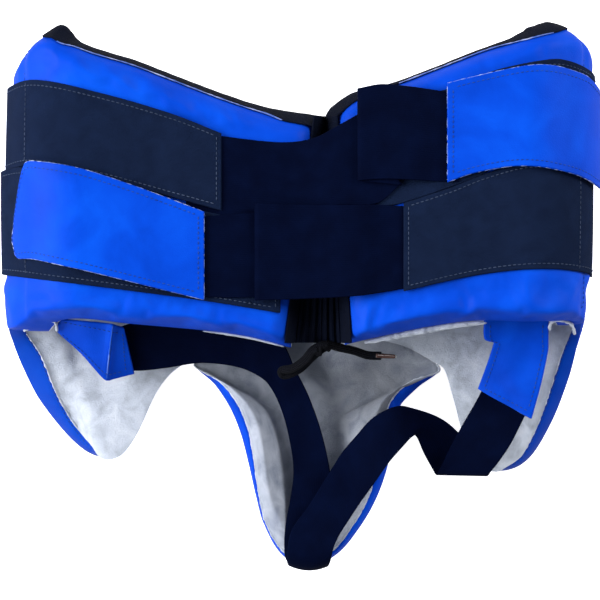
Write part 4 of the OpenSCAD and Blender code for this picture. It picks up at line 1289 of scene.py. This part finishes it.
def strip_grid(side, span, lift, tuck=0.0, wavy=0.25, corner=0.0, stand_off=0.0):
    """Grid that lies on a wing between two edges, with rounded corners at its outer end."""
    first, last = span[0][0], span[-1][0]
    s_line = first + shares(last - first, 2.4) * (last - first)
    edges = curve(span, s_line)
    v = shares(STRAP_WIDTH, 2.2)
    from_corner = np.clip(1 - (s_line - first) / max(corner, 1e-6), 0, 1)
    cut = corner * (1 - np.sqrt(1 - from_corner ** 2))
    lo, hi = edges[:, 1] + cut, edges[:, 2] - cut
    y = lo[:, None] + (hi - lo)[:, None] * v
    s = np.repeat(s_line[:, None], len(v), 1)
    raised = lift + tuck * np.clip((s - last + TUCK_START) / TUCK_RAMP, 0, 1)
    raised = raised + stand_off * bell(s - HIP_BOW, HIP_BOW_RUN)
    rim = np.exp(-np.minimum(v, 1 - v) * STRAP_WIDTH / RIM_RUN)
    lively = wavy * (INSIDE_WAVE + rim) * ripple(np.stack([s, y, 0 * s], -1), STRAP_WAVE, lift + side)
    grid = wing_point(side, s, y, wing_height(side, s, y) + raised + np.abs(lively))
    return grid if side == RIGHT else grid[:, ::-1]


def sewn_strip(name, side, tuck):
    """A strip of loop pile and its seams; its end rises over the elastic tucked under it."""
    grid = strip_grid(side, STRAP_SPANS[name], STRIP_LIFT, tuck, stand_off=STAND_OFF.get(name, 0))
    strip = sheet_solid(name + "_cloth", grid, STRIP_T, LOOP)
    runs = border(grid, STRIP_SEAM_INSET, STRIP_THREAD, "h" if name == "right_upper_strip" else "lhe")
    first, last = STRAP_SPANS[name][0][0], STRAP_SPANS[name][-1][0]
    v = np.linspace(0.04, 0.96, 60)
    u = np.full(len(v), (STRIP_SEAM[side] - first) / (last - first))
    runs.append(lifted(*on_grid(grid, u, v), STRIP_THREAD))
    return strip, stitches(name + "_stitches", runs, PALE_THREAD)


# Flat width and length of the strips in metres
STRIP_SIZES = {
    "left_upper_strip": (0.054, 0.162), "left_lower_strip": (0.056, 0.202),
    "right_upper_strip": (0.060, 0.155), "right_lower_strip": (0.056, 0.152),
}
for name, (wide, long) in STRIP_SIZES.items():
    side = LEFT if name.startswith("left") else RIGHT
    tuck = TUCK_RISE if name in ("left_upper_strip", "right_lower_strip") else 0.0
    strip, sewn = sewn_strip(name, side, tuck)
    with_wing(strip)
    with_wing(sewn)
    stands_for(strip, "loop_fabric", name)


def cut_edge(name, grid, thick, colour):
    """Fibres along the cut rim of a leather tab."""
    loop = np.concatenate([grid[:-1, 0], grid[-1, :-1], grid[:0:-1, -1], grid[0, :0:-1]])
    loop = even(np.concatenate([loop, loop[:1]]), 1.0)
    fuzz = CUT_FUZZ[0] + CUT_FUZZ[1] * ripple(loop, 2.2, 1.7)
    return level_tube(name, loop, CUT_WIDE * fuzz, CUT_THICK * thick * fuzz, colour, 7)


for name, side, corner in (("upper_tab", RIGHT, 5.0), ("lower_tab", LEFT, 7.0)):
    grid = strip_grid(side, STRAP_SPANS[name], TAB_LIFT, wavy=0.5, corner=corner)
    tab = sheet_solid(name + "_leather", grid, TAB_T, BLUE)
    sewn = stitches(name + "_stitches", border(grid, TAB_SEAM_INSET, TAB_THREAD, "lhse"), THREAD)
    rim = cut_edge(name + "_cut_edge", grid, TAB_T, PALE_EDGE_AND_HIGHLIGHT)
    under = strip_grid(side, STRAP_SPANS[name + "_hook"], HOOK_LIFT, wavy=0.1)
    hook = sheet_solid(name + "_hook_patch", under, HOOK_T, HOOK)
    for part in (tab, sewn, rim, hook):
        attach(part, name)
    stands_for(tab, "blue_leather", name)
    stands_for(hook, "hook_fabric", name + "_hook")


# Elastic straps
def band_grid(edges, step=2.0, across=2.2):
    """Grid between two edges that are given as pairs of points."""
    rows = sweep([np.ravel(e) for e in edges], step * math.sqrt(2))
    wide = np.linalg.norm(rows[:, 3:] - rows[:, :3], axis=1).mean()
    t = shares(wide, across)[None, :, None]
    return rows[:, None, :3] * (1 - t) + rows[:, None, 3:] * t


def back_pair(x, lift, lo, hi):
    """Points on the two edges of a strap across the back, at a height above the wings."""
    up = lift + STRAP_EASE
    return [[x, lo, float(back_z(x, lo)) + up], [x, hi, float(back_z(x, hi)) + up]]


def lifted_pairs(rows):
    """Pairs of edge points from rows with their own lift."""
    return [back_pair(*row) for row in rows]


def level_pairs(rows, lift):
    """Pairs of edge points from rows at one lift."""
    return [back_pair(x, lift, lo, hi) for x, lo, hi in rows]


def strap_turn(row, lift, out, rise):
    """A fold of a strap about a row of it, opening to one side."""
    x, lo, hi = row
    pairs = []
    for a in (-60, 0, 60):
        c, s = math.cos(math.radians(a)), math.sin(math.radians(a))
        pairs.append(back_pair(x + out * abs(rise) / 2 * c, lift + rise / 2 * (1 + s), lo, hi))
    return pairs


def upper_edges():
    """The upper strap: from the left wing over the back, folded back on itself and out again to its tab."""
    low, mid, high = (ELASTIC_LIFT + k * FOLD_STEP for k in range(3))
    return (lifted_pairs(UPPER_RUN) + strap_turn(UPPER_BACK[0], low, 1, FOLD_STEP)
            + level_pairs(UPPER_BACK, mid) + strap_turn(UPPER_OUT[0], mid, -1, FOLD_STEP)
            + level_pairs(UPPER_OUT, high) + lifted_pairs(UPPER_END))


def lower_edges():
    """The lower strap: from the right wing over the back, folded under itself twice and on to its tab."""
    mid, high = ELASTIC_LIFT + FOLD_STEP, ELASTIC_LIFT + 2 * FOLD_STEP
    return (lifted_pairs(LOWER_RUN) + level_pairs(LOWER_OVER, high)
            + strap_turn(LOWER_OVER[2], high, -1, -FOLD_STEP) + level_pairs(LOWER_BACK, mid)
            + strap_turn(LOWER_BACK[1], mid, 1, -FOLD_STEP) + lifted_pairs(LOWER_END))


# How far the webbing's low end rounds over the tip of the cup, and over which way below the middle
TIP_BULGE = 3.8
TIP_RUN = (150, 170)


def elastic(name, edges, bulge=0):
    """Webbing between two edges and its flat size; a bulge rounds its low end round the tip of the cup."""
    grid = band_grid(edges)
    across = np.linspace(-1, 1, grid.shape[1])
    grid[..., 1] -= bulge * smooth_step(-grid[..., 1], *TIP_RUN) * (1 - across ** 2)
    made = sheet_solid(name + "_webbing", grid, ELASTIC_T, ELASTIC)
    stands_for(made, "black_elastic", name)
    long, wide = grid_uv(grid)[-1, -1]
    return made, (float(wide) * MM, float(long) * MM)


for name, edges, body in (("upper_elastic", upper_edges(), "left_wing"),
                          ("lower_elastic", lower_edges(), "right_wing")):
    strap, flat = elastic(name, edges)
    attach(strap, body)
# Each leg strap stretches between a place on the cup and its tab
for side, edges, cup_end, tab_end in (
        (LEFT, LEFT_LEG, (-0.045, -0.04, 0.036), (-0.112, -0.03, 0.044)),
        (RIGHT, RIGHT_LEG, (0.072, -0.09, 0.028), (0.131, -0.066, 0.036))):
    strap, flat = elastic(SIDE_NAME[side] + "_leg_elastic", edges, TIP_BULGE)
    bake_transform(strap)


# Leather tabs of the leg straps: their waves as (height, size), seam and cut edge
LEG_TAB_WAVE = (0.7, 14)
LEG_TAB_INSET = 3.2
LEG_TAB_THREAD = LEG_TAB_T / 2 + 0.1
LEG_TAB_EDGE = LEG_TAB_T * 0.8
TAB_FOLD_D = 1.1

for side, edges in ((LEFT, LEFT_LEG_TAB), (RIGHT, RIGHT_LEG_TAB)):
    name = SIDE_NAME[side] + "_leg_tab"
    grid = band_grid(edges, 1.6, 1.8)
    wave_height = LEG_TAB_WAVE[0] * ripple(grid, LEG_TAB_WAVE[1], side * 2.0)
    grid = grid + normals_of(grid) * wave_height[..., None]
    tab = sheet_solid(name + "_leather", grid, LEG_TAB_T, BLUE)
    sewn = stitches(name + "_stitches", border(grid, LEG_TAB_INSET, LEG_TAB_THREAD, "lhe"), THREAD)
    rim = cut_edge(name + "_cut_edge", grid, LEG_TAB_EDGE, BLUE_EDGE)
    for part in (tab, sewn, rim):
        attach(part, SIDE_NAME[side] + "_wing")
    if side == LEFT:
        fold_line = even(np.array(LEFT_TAB_FOLD), FRAY_STEP)
        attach(fuzzy_line(name + "_fold", fold_line, TAB_FOLD_D, 3.3, BLUE_EDGE), "left_wing")
    stands_for(tab, "blue_leather", name)


# Front panel
# Reach of the leather from the edge to the lining's seam, as [distance along the skin, reach]
SEAM_INSET = [
    [-215, 2], [-200, 3], [-185, 3.5], [-165, 6], [-150, 8], [-141, 6], [-134, 1.0], [-126, -0.6],
    [-60, -1.0], [8, -1.2], [80, -1.0], [118, -0.6], [128, 0.6], [136, 4], [150, 6], [168, 5], [185, 4],
    [200, 3], [215, 2],
]
# Depth of that seam below the lining's middle
SEAM_DEPTH = [
    [-215, 16], [-204, 16], [-192, 10.5], [-176, 9], [-150, 9], [-141, 6], [-133, 2], [-122, 0.5],
    [-60, 0], [8, 0], [80, 0], [116, 0.5], [126, 3], [136, 7], [150, 9], [188, 8.5], [200, 11], [215, 12],
]
# Depth of the rolled edge as a share of the padding, as [distance along the skin, share]
ROLLED_DEPTH = [[-215, 1.2], [-180, 1.2], [-140, 1.1], [130, 1.05], [160, 0.95], [185, 0.84], [215, 0.68]]
ROLLED_REACH = 40
# Where the edge starts to roll and is fully rolled, along the skin to each side
ROLLED_RUN = {LEFT: (98, 146), RIGHT: (92, 140)}
# How much fuller the left hip is and how much flatter the right one, and where along the skin
SIDE_SWELL = 5.0
SIDE_SWELL_RUN = (150, 185)
HIP_PINCH = 4.0
HIP_PINCH_RUN = (160, 195)
# Waves of the leather, of its rim and of the lining, as (height, size)
LEATHER_WAVE = (0.5, 30)
RIM_WAVE = (0.6, 9)
SUEDE_WAVES = ((1.1, 38, 5.5), (0.5, 15, 2.5))
SUEDE_CREASES = [[16, -26, 15, -46, 2.2, 1.1], [22, -26, 23, -48, 2.0, 0.9], [-60, -20, -95, -45, 5, 0.9]]
# The lining's fullness and the way from its edge over which it fills, its overlap and its place in the seam
SUEDE_FULL = 1.6
SUEDE_FILL = 7
SUEDE_UNDER = 0.8
SUEDE_LIFT = 0.4
SEAM_SINK = 9
# Rows of points beside the edges of leather and lining, and the step of the lattice inside
LEATHER_ROWS = [0.8, 2, 4, 6.5, 9.5, 13, 18]
LEATHER_STEP = 5.0
SUEDE_ROWS = [1.5, 4, 7, 11]
SUEDE_STEP = 4.0
# Stretches of the lobes' seams along the skin, the stitches' place on the rim and the fibres' thickness
LOBE_SEAMS = ((-206, -132), (126, 206))
STITCH_ROW = 0.93
LOBE_FRAY = 1.5


def chain_normals(loop):
    """Directions to the left of a closed chain."""
    run = unit(np.roll(loop, -1, 0) - np.roll(loop, 1, 0))
    return np.stack([-run[:, 1], run[:, 0]], -1)


def edge_chain(table, count):
    """Points along an edge of the front, from one side seam to the other."""
    s = np.linspace(-SIDE_SEAM, SIDE_SEAM, count)
    return np.stack([s, height(table, s)], -1)


def front_loop(step):
    """The front's outline as a closed chain."""
    bottom = even(edge_chain(FRONT_BOTTOM, 3000), step)
    top = even(edge_chain(FRONT_TOP, 3000)[::-1], step)
    right = even(np.array([bottom[-1], top[0]]), step)[1:-1]
    left = even(np.array([top[-1], bottom[0]]), step)[1:-1]
    return np.concatenate([bottom, right, top, left])


def inside_loop(points, loop):
    """Which points lie inside a closed chain."""
    x, y = points[:, 0], points[:, 1]
    hit = np.zeros(len(points), bool)
    for (x0, y0), (x1, y1) in zip(loop, np.roll(loop, -1, 0)):
        if y0 != y1:
            crosses = (y0 > y) != (y1 > y)
            hit ^= crosses & (x < (x1 - x0) * (y - y0) / (y1 - y0) + x0)
    return hit


def distance_to(points, chain):
    """Shortest distance from points to a chain."""
    best = np.full(len(points), 1e9)
    for a, b in zip(chain[:-1], chain[1:]):
        d = b - a
        t = np.clip(((points - a) @ d) / max(d @ d, 1e-9), 0, 1)
        best = np.minimum(best, np.linalg.norm(points - a - t[:, None] * d, axis=1))
    return best


def fill(loop, insets, step):
    """Triangles over an outline, with rows of points beside its edge and a lattice inside."""
    inward = chain_normals(loop)
    low, high = loop.min(0), loop.max(0)
    x, y = np.meshgrid(np.arange(low[0], high[0], step), np.arange(low[1], high[1], step))
    x[::2] += step / 2
    lattice = np.stack([x.ravel(), y.ravel()], -1)
    extra = np.concatenate([loop + inward * d for d in insets] + [lattice])
    extra = extra[inside_loop(extra, loop)]
    extra = extra[distance_to(extra, np.concatenate([loop, loop[:1]])) > 0.5]
    n = len(loop)
    edges = [(i, (i + 1) % n) for i in range(n)]
    corners = [Vector(p) for p in np.concatenate([loop, extra])]
    found = geometry.delaunay_2d_cdt(corners, edges, [list(range(n))], 1, 1e-5)
    return np.array([tuple(v) for v in found[0]]), [list(f) for f in found[2]]


def rolled_share(s):
    """Share from 0 to 1 of how far the leather is rolled over the edge."""
    return smooth_step(-s, *ROLLED_RUN[LEFT]) + smooth_step(s, *ROLLED_RUN[RIGHT])


def deepest(s):
    """Greatest depth of the leather below the lining, more over the left hip and less over the right."""
    swell = SIDE_SWELL * smooth_step(-s, *SIDE_SWELL_RUN)
    return PAD_T + swell - HIP_PINCH * smooth_step(s, *HIP_PINCH_RUN)


front_outline = front_loop(3.0)
bottom_chain = edge_chain(FRONT_BOTTOM, 400)
top_chain = edge_chain(FRONT_TOP, 120)


def front_leather():
    """Outer skin of the front, whose padding thins to its edges apart from the rolled ones."""
    flat, faces = fill(front_outline, LEATHER_ROWS, LEATHER_STEP)
    s, y = flat.T
    d_low = distance_to(flat, bottom_chain)
    start = height(ROLLED_DEPTH, s) * rolled_share(s) * np.exp(-d_low / ROLLED_REACH)
    share = (start + (1 - start) * edge_share(d_low)) * edge_share(distance_to(flat, top_chain))
    wrinkle = LEATHER_WAVE[0] * ripple(np.column_stack([flat, 0 * s]), LEATHER_WAVE[1], 6.0)
    depth = PAD_T * share + np.where(share > 0.98, np.minimum(wrinkle, 0), wrinkle * share)
    points = front_point(s, y, np.minimum(depth, deepest(s)))
    return piece("front_leather", points, [f[::-1] for f in faces], BLUE, flat)


def rim_line(chain, share):
    """Points on the leather's rolled edge, from the silhouette at 0 to the lining's seam at 1."""
    inward = chain_normals(chain)
    inward[0], inward[-1] = inward[1], inward[-2]
    s = chain[:, 0]
    at = chain + inward * (height(SEAM_INSET, s) * (1 - math.sqrt(1 - share ** 2)))[:, None]
    start = np.minimum(PAD_T * height(ROLLED_DEPTH, s) * rolled_share(s), deepest(s))
    end = height(SEAM_DEPTH, s)
    puff = RIM_WAVE[0] * ripple(np.column_stack([chain, 0 * s + 5 * share]), RIM_WAVE[1], 3.0)
    puff = puff * 4 * share * (1 - share) * rolled_share(s)
    return front_point(at[:, 0], at[:, 1], start + (end - start) * share - puff)


def front_rim():
    """Leather rolled over the lower edge, in a darker copy of the blue leather that paints its shade."""
    chain = even(bottom_chain, 2.5)
    rows = [rim_line(chain, math.sin(a)) for a in np.linspace(0, np.pi / 2, 9)]
    return open_grid("front_rim_leather", np.stack(rows, 1), SHADED_RIM_BLUE)


def front_suede():
    """Lining of the front, sunk along its seam and full inside it."""
    near = distance_to(front_outline, bottom_chain) < 0.5
    reach = np.where(near, height(SEAM_INSET, front_outline[:, 0]) - SUEDE_UNDER, 0.0)
    loop = front_outline + chain_normals(front_outline) * reach[:, None]
    flat, faces = fill(loop, SUEDE_ROWS, SUEDE_STEP)
    s, y = flat.T
    spot = np.column_stack([flat, 0 * s])
    swell = SUEDE_FULL * (1 - np.exp(-distance_to(flat, np.concatenate([loop, loop[:1]])) / SUEDE_FILL))
    swell = swell + sum(tall * ripple(spot, size, seed) for tall, size, seed in SUEDE_WAVES)
    swell = np.maximum(swell + crease(flat, SUEDE_CREASES), -0.2)
    d_seam = np.maximum(distance_to(flat, bottom_chain) - height(SEAM_INSET, s), 0)
    sunk = height(SEAM_DEPTH, s) * bell(d_seam, SEAM_SINK)
    return piece("front_suede", front_point(s, y, sunk - SUEDE_LIFT - swell), faces, SUEDE, flat)


chain = even(bottom_chain, 2.0)
lobes = [(chain[:, 0] > low) & (chain[:, 0] < high) for low, high in LOBE_SEAMS]
seam, beside = rim_line(chain, 1.0), rim_line(chain, STITCH_ROW)
deep = front_point(chain[:, 0], chain[:, 1], 2.0 * PAD_T)
runs = [(beside[pick], unit(beside[pick] - deep[pick])) for pick in lobes]
leather, rim, suede = front_leather(), front_rim(), front_suede()
sewn = stitches("front_stitches", runs, THREAD)
frays = [fuzzy_line("fray", even(seam[pick], FRAY_STEP), LOBE_FRAY, 2.0, SUEDE) for pick in lobes]
fray = joined("front_suede_fray", frays)

# Corners of the lining that curl over beside the leg tabs
CURLS = {
    LEFT: [[-182, -20, 52], [-174, -16, 61], [-167, -13.5, 66], [-161, -14.5, 66], [-160, -20, 60]],
    RIGHT: [[160, -20, 58], [161.5, -14.5, 65], [168, -13.5, 66], [174.5, -16, 60], [177, -22, 52]],
}
CURL_SIZE = 2.0
curls = [fuzzy_line("curl", sweep(CURLS[side], 1.0), CURL_SIZE, side * 4.0, SUEDE) for side in CURLS]
curl = joined("front_suede_curls", curls)
for part in (leather, rim, suede, sewn, fray, curl):
    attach(part, "front")
stands_for(leather, "blue_leather", "front_cover", "front_foam")
stands_for(suede, "suede_lining", "front_lining")


# Cup: levels as [share of the outline, height at the free edge, height at the sewn edge]
CUP_OUTSIDE = [
    [0.3, 0, 0], [0.55, 0, 0], [0.72, CUP_EDGE_Z * 0.05, 0], [0.84, CUP_EDGE_Z * 0.22, 2],
    [0.93, CUP_EDGE_Z * 0.52, 6], [1, CUP_EDGE_Z, 12],
]
CUP_INSIDE = [
    [0.3, CUP_FLOOR_Z, CUP_FLOOR_Z], [0.55, CUP_FLOOR_Z + 6, CUP_FLOOR_Z + 3],
    [0.72, CUP_ROLL_Z - 8, PAD_T - 4], [0.84, CUP_ROLL_Z, PAD_T - 1], [0.93, CUP_ROLL_Z - 3, PAD_T],
    [1, CUP_EDGE_Z + 4.5, PAD_T - 1],
]
# Y at which the sewn edge ends, and the way below it over which the edge comes free
CUP_SEAM_Y = -42
CUP_SEAM_RUN = 22
CUP_COLS = 180
RING_SHARE = np.concatenate([np.linspace(1, 0.7, 16), np.linspace(0.68, 0.04, 22)])[:, None]
# Where the leather bellies out round the hard shell, as [X, Y], how deep and how far
SHELL_CORNERS = [[70, -54], [-56, -54]]
SHELL_ROOM = 3.5
SHELL_REACH = 14
# The lining's overlap past the sewn edge, and where it ends to each side of the cup's middle
CUP_OVERLAP = 2.5
OVERLAP_HALF = 78
OVERLAP_RUN = 18
# Width of the leather folded over the cup's free edge, as [Y, width]
CUP_FOLD = {
    LEFT: [[-178, 3], [-150, 1.8], [-125, 2.6], [-100, 4.8], [-80, 6.2], [-60, 5], [-42, 3]],
    RIGHT: [[-178, 3], [-160, 4.6], [-140, 5.2], [-120, 6.2], [-80, 7.2], [-60, 7.2], [-42, 6]],
}
# X over which the left table gives way to the right one, and where the fold starts and narrows
FOLD_MIDDLE = (0, 16)
FOLD_START = 0.12
FOLD_CORNERS = (CUP_OUTLINE[0], CUP_OUTLINE[4])
FOLD_CORNER_RUN = 24
FOLD_ROLL = 2.2
CUP_CREASES = [[52, -50, 64, -62, 2.5, 1.0], [44, -58, 58, -72, 3, 0.8], [-30, -70, -24, -104, 3, 0.9]]
# Waves of the cup's leather and lining, as (height, size, seed), and the fibres of its edge
CUP_WAVE = (0.5, 24, 1.1)
CUP_SUEDE_WAVES = ((1.0, 26, 4.2), (0.5, 11, 8.0))
CUP_FLAT_Z = 1.5
CUP_FRAY = 1.3
CUP_FRAY_LIFT = 0.3


def closed_loop(points, count):
    """A smooth closed curve through points, read at even steps."""
    p = np.array(points, float)
    wrapped = np.concatenate([p[-2:], p, p[:3]])
    at = along(wrapped)
    x = np.linspace(at[2], at[len(p) + 2], count, endpoint=False)
    return curve(np.column_stack([at, wrapped]), x)[:, 1:]


cup_loop = closed_loop(CUP_OUTLINE, CUP_COLS)
cup_free = np.clip((CUP_SEAM_Y - cup_loop[:, 1]) / CUP_SEAM_RUN, 0, 1)


def cup_grid(levels, loop):
    """Rings of a bowl inside an outline, higher along its free edge than along its seam."""
    levels = curve(levels, RING_SHARE)
    at = CUP_CENTRE + (loop - CUP_CENTRE) * RING_SHARE[..., None]
    z = levels[..., 2] + (levels[..., 1] - levels[..., 2]) * cup_free
    return np.concatenate([at, z[..., None]], -1)


def bowl(name, grid, material, flip):
    """A bowl from rings of points, closed by one point in its middle."""
    rows, cols = grid.shape[:2]
    last = (rows - 1) * cols
    middle = rows * cols
    faces = [list(f) for f in grid_faces(rows, cols, closed=True)]
    faces += [[last + j, last + (j + 1) % cols, middle] for j in range(cols)]
    points = np.concatenate([grid.reshape(-1, 3), [grid[-1].mean(0)]])
    if flip:
        faces = [f[::-1] for f in faces]
    return piece(name, points, faces, material, points[:, :2])


def lining_reach():
    """How far the lining runs past the cup's outline; negative where the leather folds over it."""
    x, y = cup_loop.T
    folded = smooth_step(cup_free, 0, FOLD_START)
    overlap = CUP_OVERLAP * smooth_step(OVERLAP_HALF - np.abs(x - CUP_CENTRE[0]), 0, OVERLAP_RUN)
    left_fold, right_fold = height(CUP_FOLD[LEFT], y), height(CUP_FOLD[RIGHT], y)
    width = left_fold + (right_fold - left_fold) * smooth_step(x, *FOLD_MIDDLE)
    for corner in FOLD_CORNERS:
        width = width * smooth_step(np.linalg.norm(cup_loop - corner, axis=1), 0, FOLD_CORNER_RUN)
    reach = overlap * (1 - folded) - width * folded
    return np.mean([np.roll(reach, shift) for shift in range(-2, 3)], 0)


outer = cup_grid(CUP_OUTSIDE, cup_loop)
outer[..., 2] += CUP_WAVE[0] * ripple(outer, *CUP_WAVE[1:]) * (outer[..., 2] > CUP_FLAT_Z)
for corner in SHELL_CORNERS:
    near = bell(np.linalg.norm(outer[..., :2] - corner, axis=-1), SHELL_REACH)
    outer[..., 2] = np.maximum(outer[..., 2] - SHELL_ROOM * near, 0)
cup_leather = bowl("cup_leather", outer, BLUE, False)

inner = cup_grid(CUP_INSIDE, cup_loop + chain_normals(cup_loop) * lining_reach()[:, None])
spot = inner * [1, 1, 0]
inner[..., 2] += sum(tall * ripple(spot, size, seed) for tall, size, seed in CUP_SUEDE_WAVES)
inner[..., 2] += crease(spot, CUP_CREASES)
# The cup's lining takes the darker suede, which paints its shade
cup_suede = bowl("cup_suede", inner, SHADED_SUEDE, True)

free_cols = np.flatnonzero(cup_free > 0.01)
fold = np.linspace(0, 1, 8)[:, None, None]
rim_grid = outer[0][free_cols] * (1 - fold) + inner[0][free_cols] * fold
rim_grid[..., 2] += (FOLD_ROLL * np.sin(np.pi * fold) * cup_free[free_cols][:, None])[..., 0]
cup_rim = open_grid("cup_rim_leather", rim_grid, BLUE)
cup_line = even(inner[0][free_cols] + [0, 0, CUP_FRAY_LIFT], FRAY_STEP)
cup_fray = fuzzy_line("cup_suede_fray", cup_line, CUP_FRAY, 6.0, SUEDE)
for part in (cup_leather, cup_suede, cup_rim, cup_fray):
    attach(part, "front")
stands_for(cup_leather, "blue_leather", "cup_cover")
stands_for(cup_suede, "suede_lining", "cup_lining", "cup_padding")


# Floor and light
FLOOR_HALF = 3000
FLOOR_Z = -0.3
WORLD_STRENGTH = 0.18
WORLD_COLOUR = (0.93, 0.96, 1.0, 1)
# Lights as (name, place, size, power), and the place that they face
SOFTBOXES = (
    ("left_softbox", (-1.6, 0.3, 1.05), 1.2, 50),
    ("right_softbox", (1.4, 0.9, 1.0), 1.2, 34),
    ("low_fill", (-1.0, -1.2, 1.2), 0.8, 12),
)
LIGHT_AIM = (0, 0, 0.05)


def floor_material():
    """A pale floor that the camera sees as plain white."""
    made = bpy.data.materials.new("pale_floor")
    made.use_nodes = True
    tree = made.node_tree
    shader = tree.nodes["Principled BSDF"]
    shader.inputs["Base Color"].default_value = (0.9, 0.9, 0.9, 1)
    shader.inputs["Roughness"].default_value = 0.9
    seen = add(tree, "ShaderNodeLightPath").outputs["Is Camera Ray"]
    shader.inputs["Emission Color"].default_value = (1, 1, 1, 1)
    tree.links.new(seen, shader.inputs["Emission Strength"])
    return made


corners = FLOOR_HALF * np.array([[-1, -1, 0], [1, -1, 0], [1, 1, 0], [-1, 1, 0]]) + [0, 0, FLOOR_Z]
floor = piece("floor", corners, [[0, 1, 2, 3]], floor_material())

world = bpy.data.worlds.new("studio")
bpy.context.scene.world = world
world.use_nodes = True
sky = world.node_tree.nodes["Background"]
sky.inputs["Color"].default_value = WORLD_COLOUR
sky.inputs["Strength"].default_value = WORLD_STRENGTH


def softbox(name, place, size, power):
    """A round area light that faces the object."""
    lamp = bpy.data.lights.new(name, "AREA")
    lamp.shape = "DISK"
    lamp.size = size
    lamp.energy = power
    made = bpy.data.objects.new(name, lamp)
    made.location = place
    made.rotation_euler = (Vector(LIGHT_AIM) - Vector(place)).to_track_quat("-Z", "Y").to_euler()
    bpy.context.scene.collection.objects.link(made)


for row in SOFTBOXES:
    softbox(*row)

bpy.context.scene.view_settings.view_transform = "Standard"
